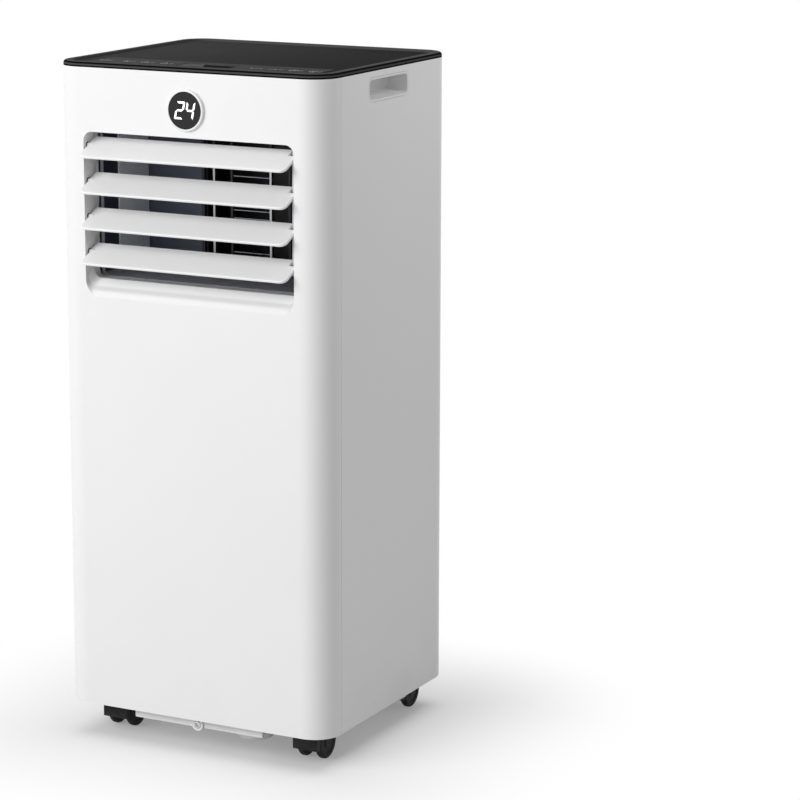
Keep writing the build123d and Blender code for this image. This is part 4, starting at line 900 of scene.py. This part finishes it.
screws = bmesh.new()
for across in (-SCREW_SPREAD, SCREW_SPREAD):
    for height in SCREW_ROWS:
        screw_head(screws, (across * MM, BACK_Y * MM, height * MM), (0, 1, 0), SCREW_RISE)
front_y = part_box("cabinet_screws")[0][1] + MM
screw_head(screws, (0, front_y, FRONT_SCREW_Z * MM), (0, -1, 0), FRONT_SCREW_RISE)
screw_piece = fitting("cross_head_screws", screws, plated_steel, "cabinet")
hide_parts("cabinet_screws")


# Stage, in metres: a white floor that keeps the soft shadow and fades into a white surround

FLOOR_RADIUS = 5.0
FLOOR_STEPS = 96
FLOOR_LIFT = 0.36
UNDER_LIFT = 0.17
UNDER_FADE = (-0.015, 0.032)
WHITE_FADE = (-0.03, 0.25)
PRINT_HALF_X = 0.13
PRINT_HALF_Y = 0.115
SURROUND_LIGHT = 0.46


def floor_finish(name):
    """White floor: a painted shadow under the part, where less glow is added, and plain white light away from
    it for rays that see it.
    """
    f = Finish(name, Roughness=0.9, Specular_IOR_Level=0.1)
    f.feed(Base_Color=f.mix(f.noise(2.0), (0.54, 0.54, 0.54), (0.56, 0.56, 0.56)))
    sees = f.rays_that_see()
    beside = (abs(f.x) - PRINT_HALF_X).at_least(0.0)
    before = (abs(f.y) - PRINT_HALF_Y).at_least(0.0)
    far = (beside * beside + before * before) ** 0.5
    # painted shadow: the glow is smaller under the part's footprint and grows away from it
    glow = sees * (UNDER_LIFT + (FLOOR_LIFT - UNDER_LIFT) * f.ramp(far, *UNDER_FADE))
    white_light = f.add("Emission", {}, {"Color": PURE_WHITE, "Strength": 1.0})
    lift = f.add("MixShader", {}, {0: glow, 2: white_light})
    near_floor = f.add("AddShader", {}, {0: Wire(f, f.shader.outputs[0]), 1: lift})
    whole_floor = f.add("MixShader", {}, {0: sees * f.ramp(far, *WHITE_FADE), 1: near_floor, 2: white_light})
    f.surface(whole_floor, "Material Output")
    return f.material


floor_bm = bmesh.new()
bmesh.ops.create_circle(floor_bm, cap_ends=True, radius=FLOOR_RADIUS, segments=FLOOR_STEPS)
floor_mesh = bpy.data.meshes.new("floor")
floor_bm.to_mesh(floor_mesh)
floor_bm.free()
floor_mesh.materials.append(floor_finish("floor_white"))
floor = bpy.data.objects.new("floor", floor_mesh)
bpy.context.scene.collection.objects.link(floor)

world = bpy.data.worlds.new("surround")
bpy.context.scene.world = world
world.use_nodes = True
world.node_tree.nodes.remove(world.node_tree.nodes["Background"])
surround = Graph(world.node_tree)
lighting = surround.add("Background", {}, {"Color": PURE_WHITE, "Strength": SURROUND_LIGHT})
seen = surround.add("Background", {}, {"Color": PURE_WHITE, "Strength": 1.0})
whole_surround = surround.add("MixShader", {}, {0: surround.rays_that_see(), 1: lighting, 2: seen})
surround.surface(whole_surround, "World Output")


# Lamps and camera: places in metres, angles in radians


def aimed(thing, place, direction):
    """Puts a lamp or a camera at a place, looking along a direction."""
    thing.location = place
    thing.rotation_euler = Vector(direction).to_track_quat("-Z", "Y").to_euler()
    bpy.context.scene.collection.objects.link(thing)


def lamp(name, place, aim, size, power):
    data = bpy.data.lights.new(name, "AREA")
    data.shape = "RECTANGLE"
    data.size, data.size_y = size
    data.energy = power
    aimed(bpy.data.objects.new(name, data), place, Vector(aim) - Vector(place))


lamp("key_front_left", place=(-1.35, -2.6, 1.65), aim=(0, 0, 0.38), size=(2.2, 2.0), power=73.0)
lamp("fill_high_right", place=(0.55, 0.25, 1.05), aim=(0.15, 0.05, 0.6), size=(0.3, 0.3), power=0.85)

bpy.context.scene.view_settings.view_transform = "Standard"

CAMERA_AIM = Vector((0.1177, 0.0007, 0.3905))
CAMERA_TURN = 0.4837
CAMERA_TILT = 0.2012
CAMERA_DISTANCE = 2.9915
camera_data = bpy.data.cameras.new("camera")
camera_data.lens = 135.0
camera_data.sensor_width = 36.0
camera_data.sensor_fit = "HORIZONTAL"
camera_data.shift_x = 0.05
camera_data.shift_y = -0.05
camera_data.clip_end = 100.0
level = math.cos(CAMERA_TILT)
look = Vector((-math.sin(CAMERA_TURN) * level, math.cos(CAMERA_TURN) * level, -math.sin(CAMERA_TILT)))
camera = bpy.data.objects.new("camera", camera_data)
aimed(camera, CAMERA_AIM - look * CAMERA_DISTANCE, look)
bpy.context.scene.camera = camera
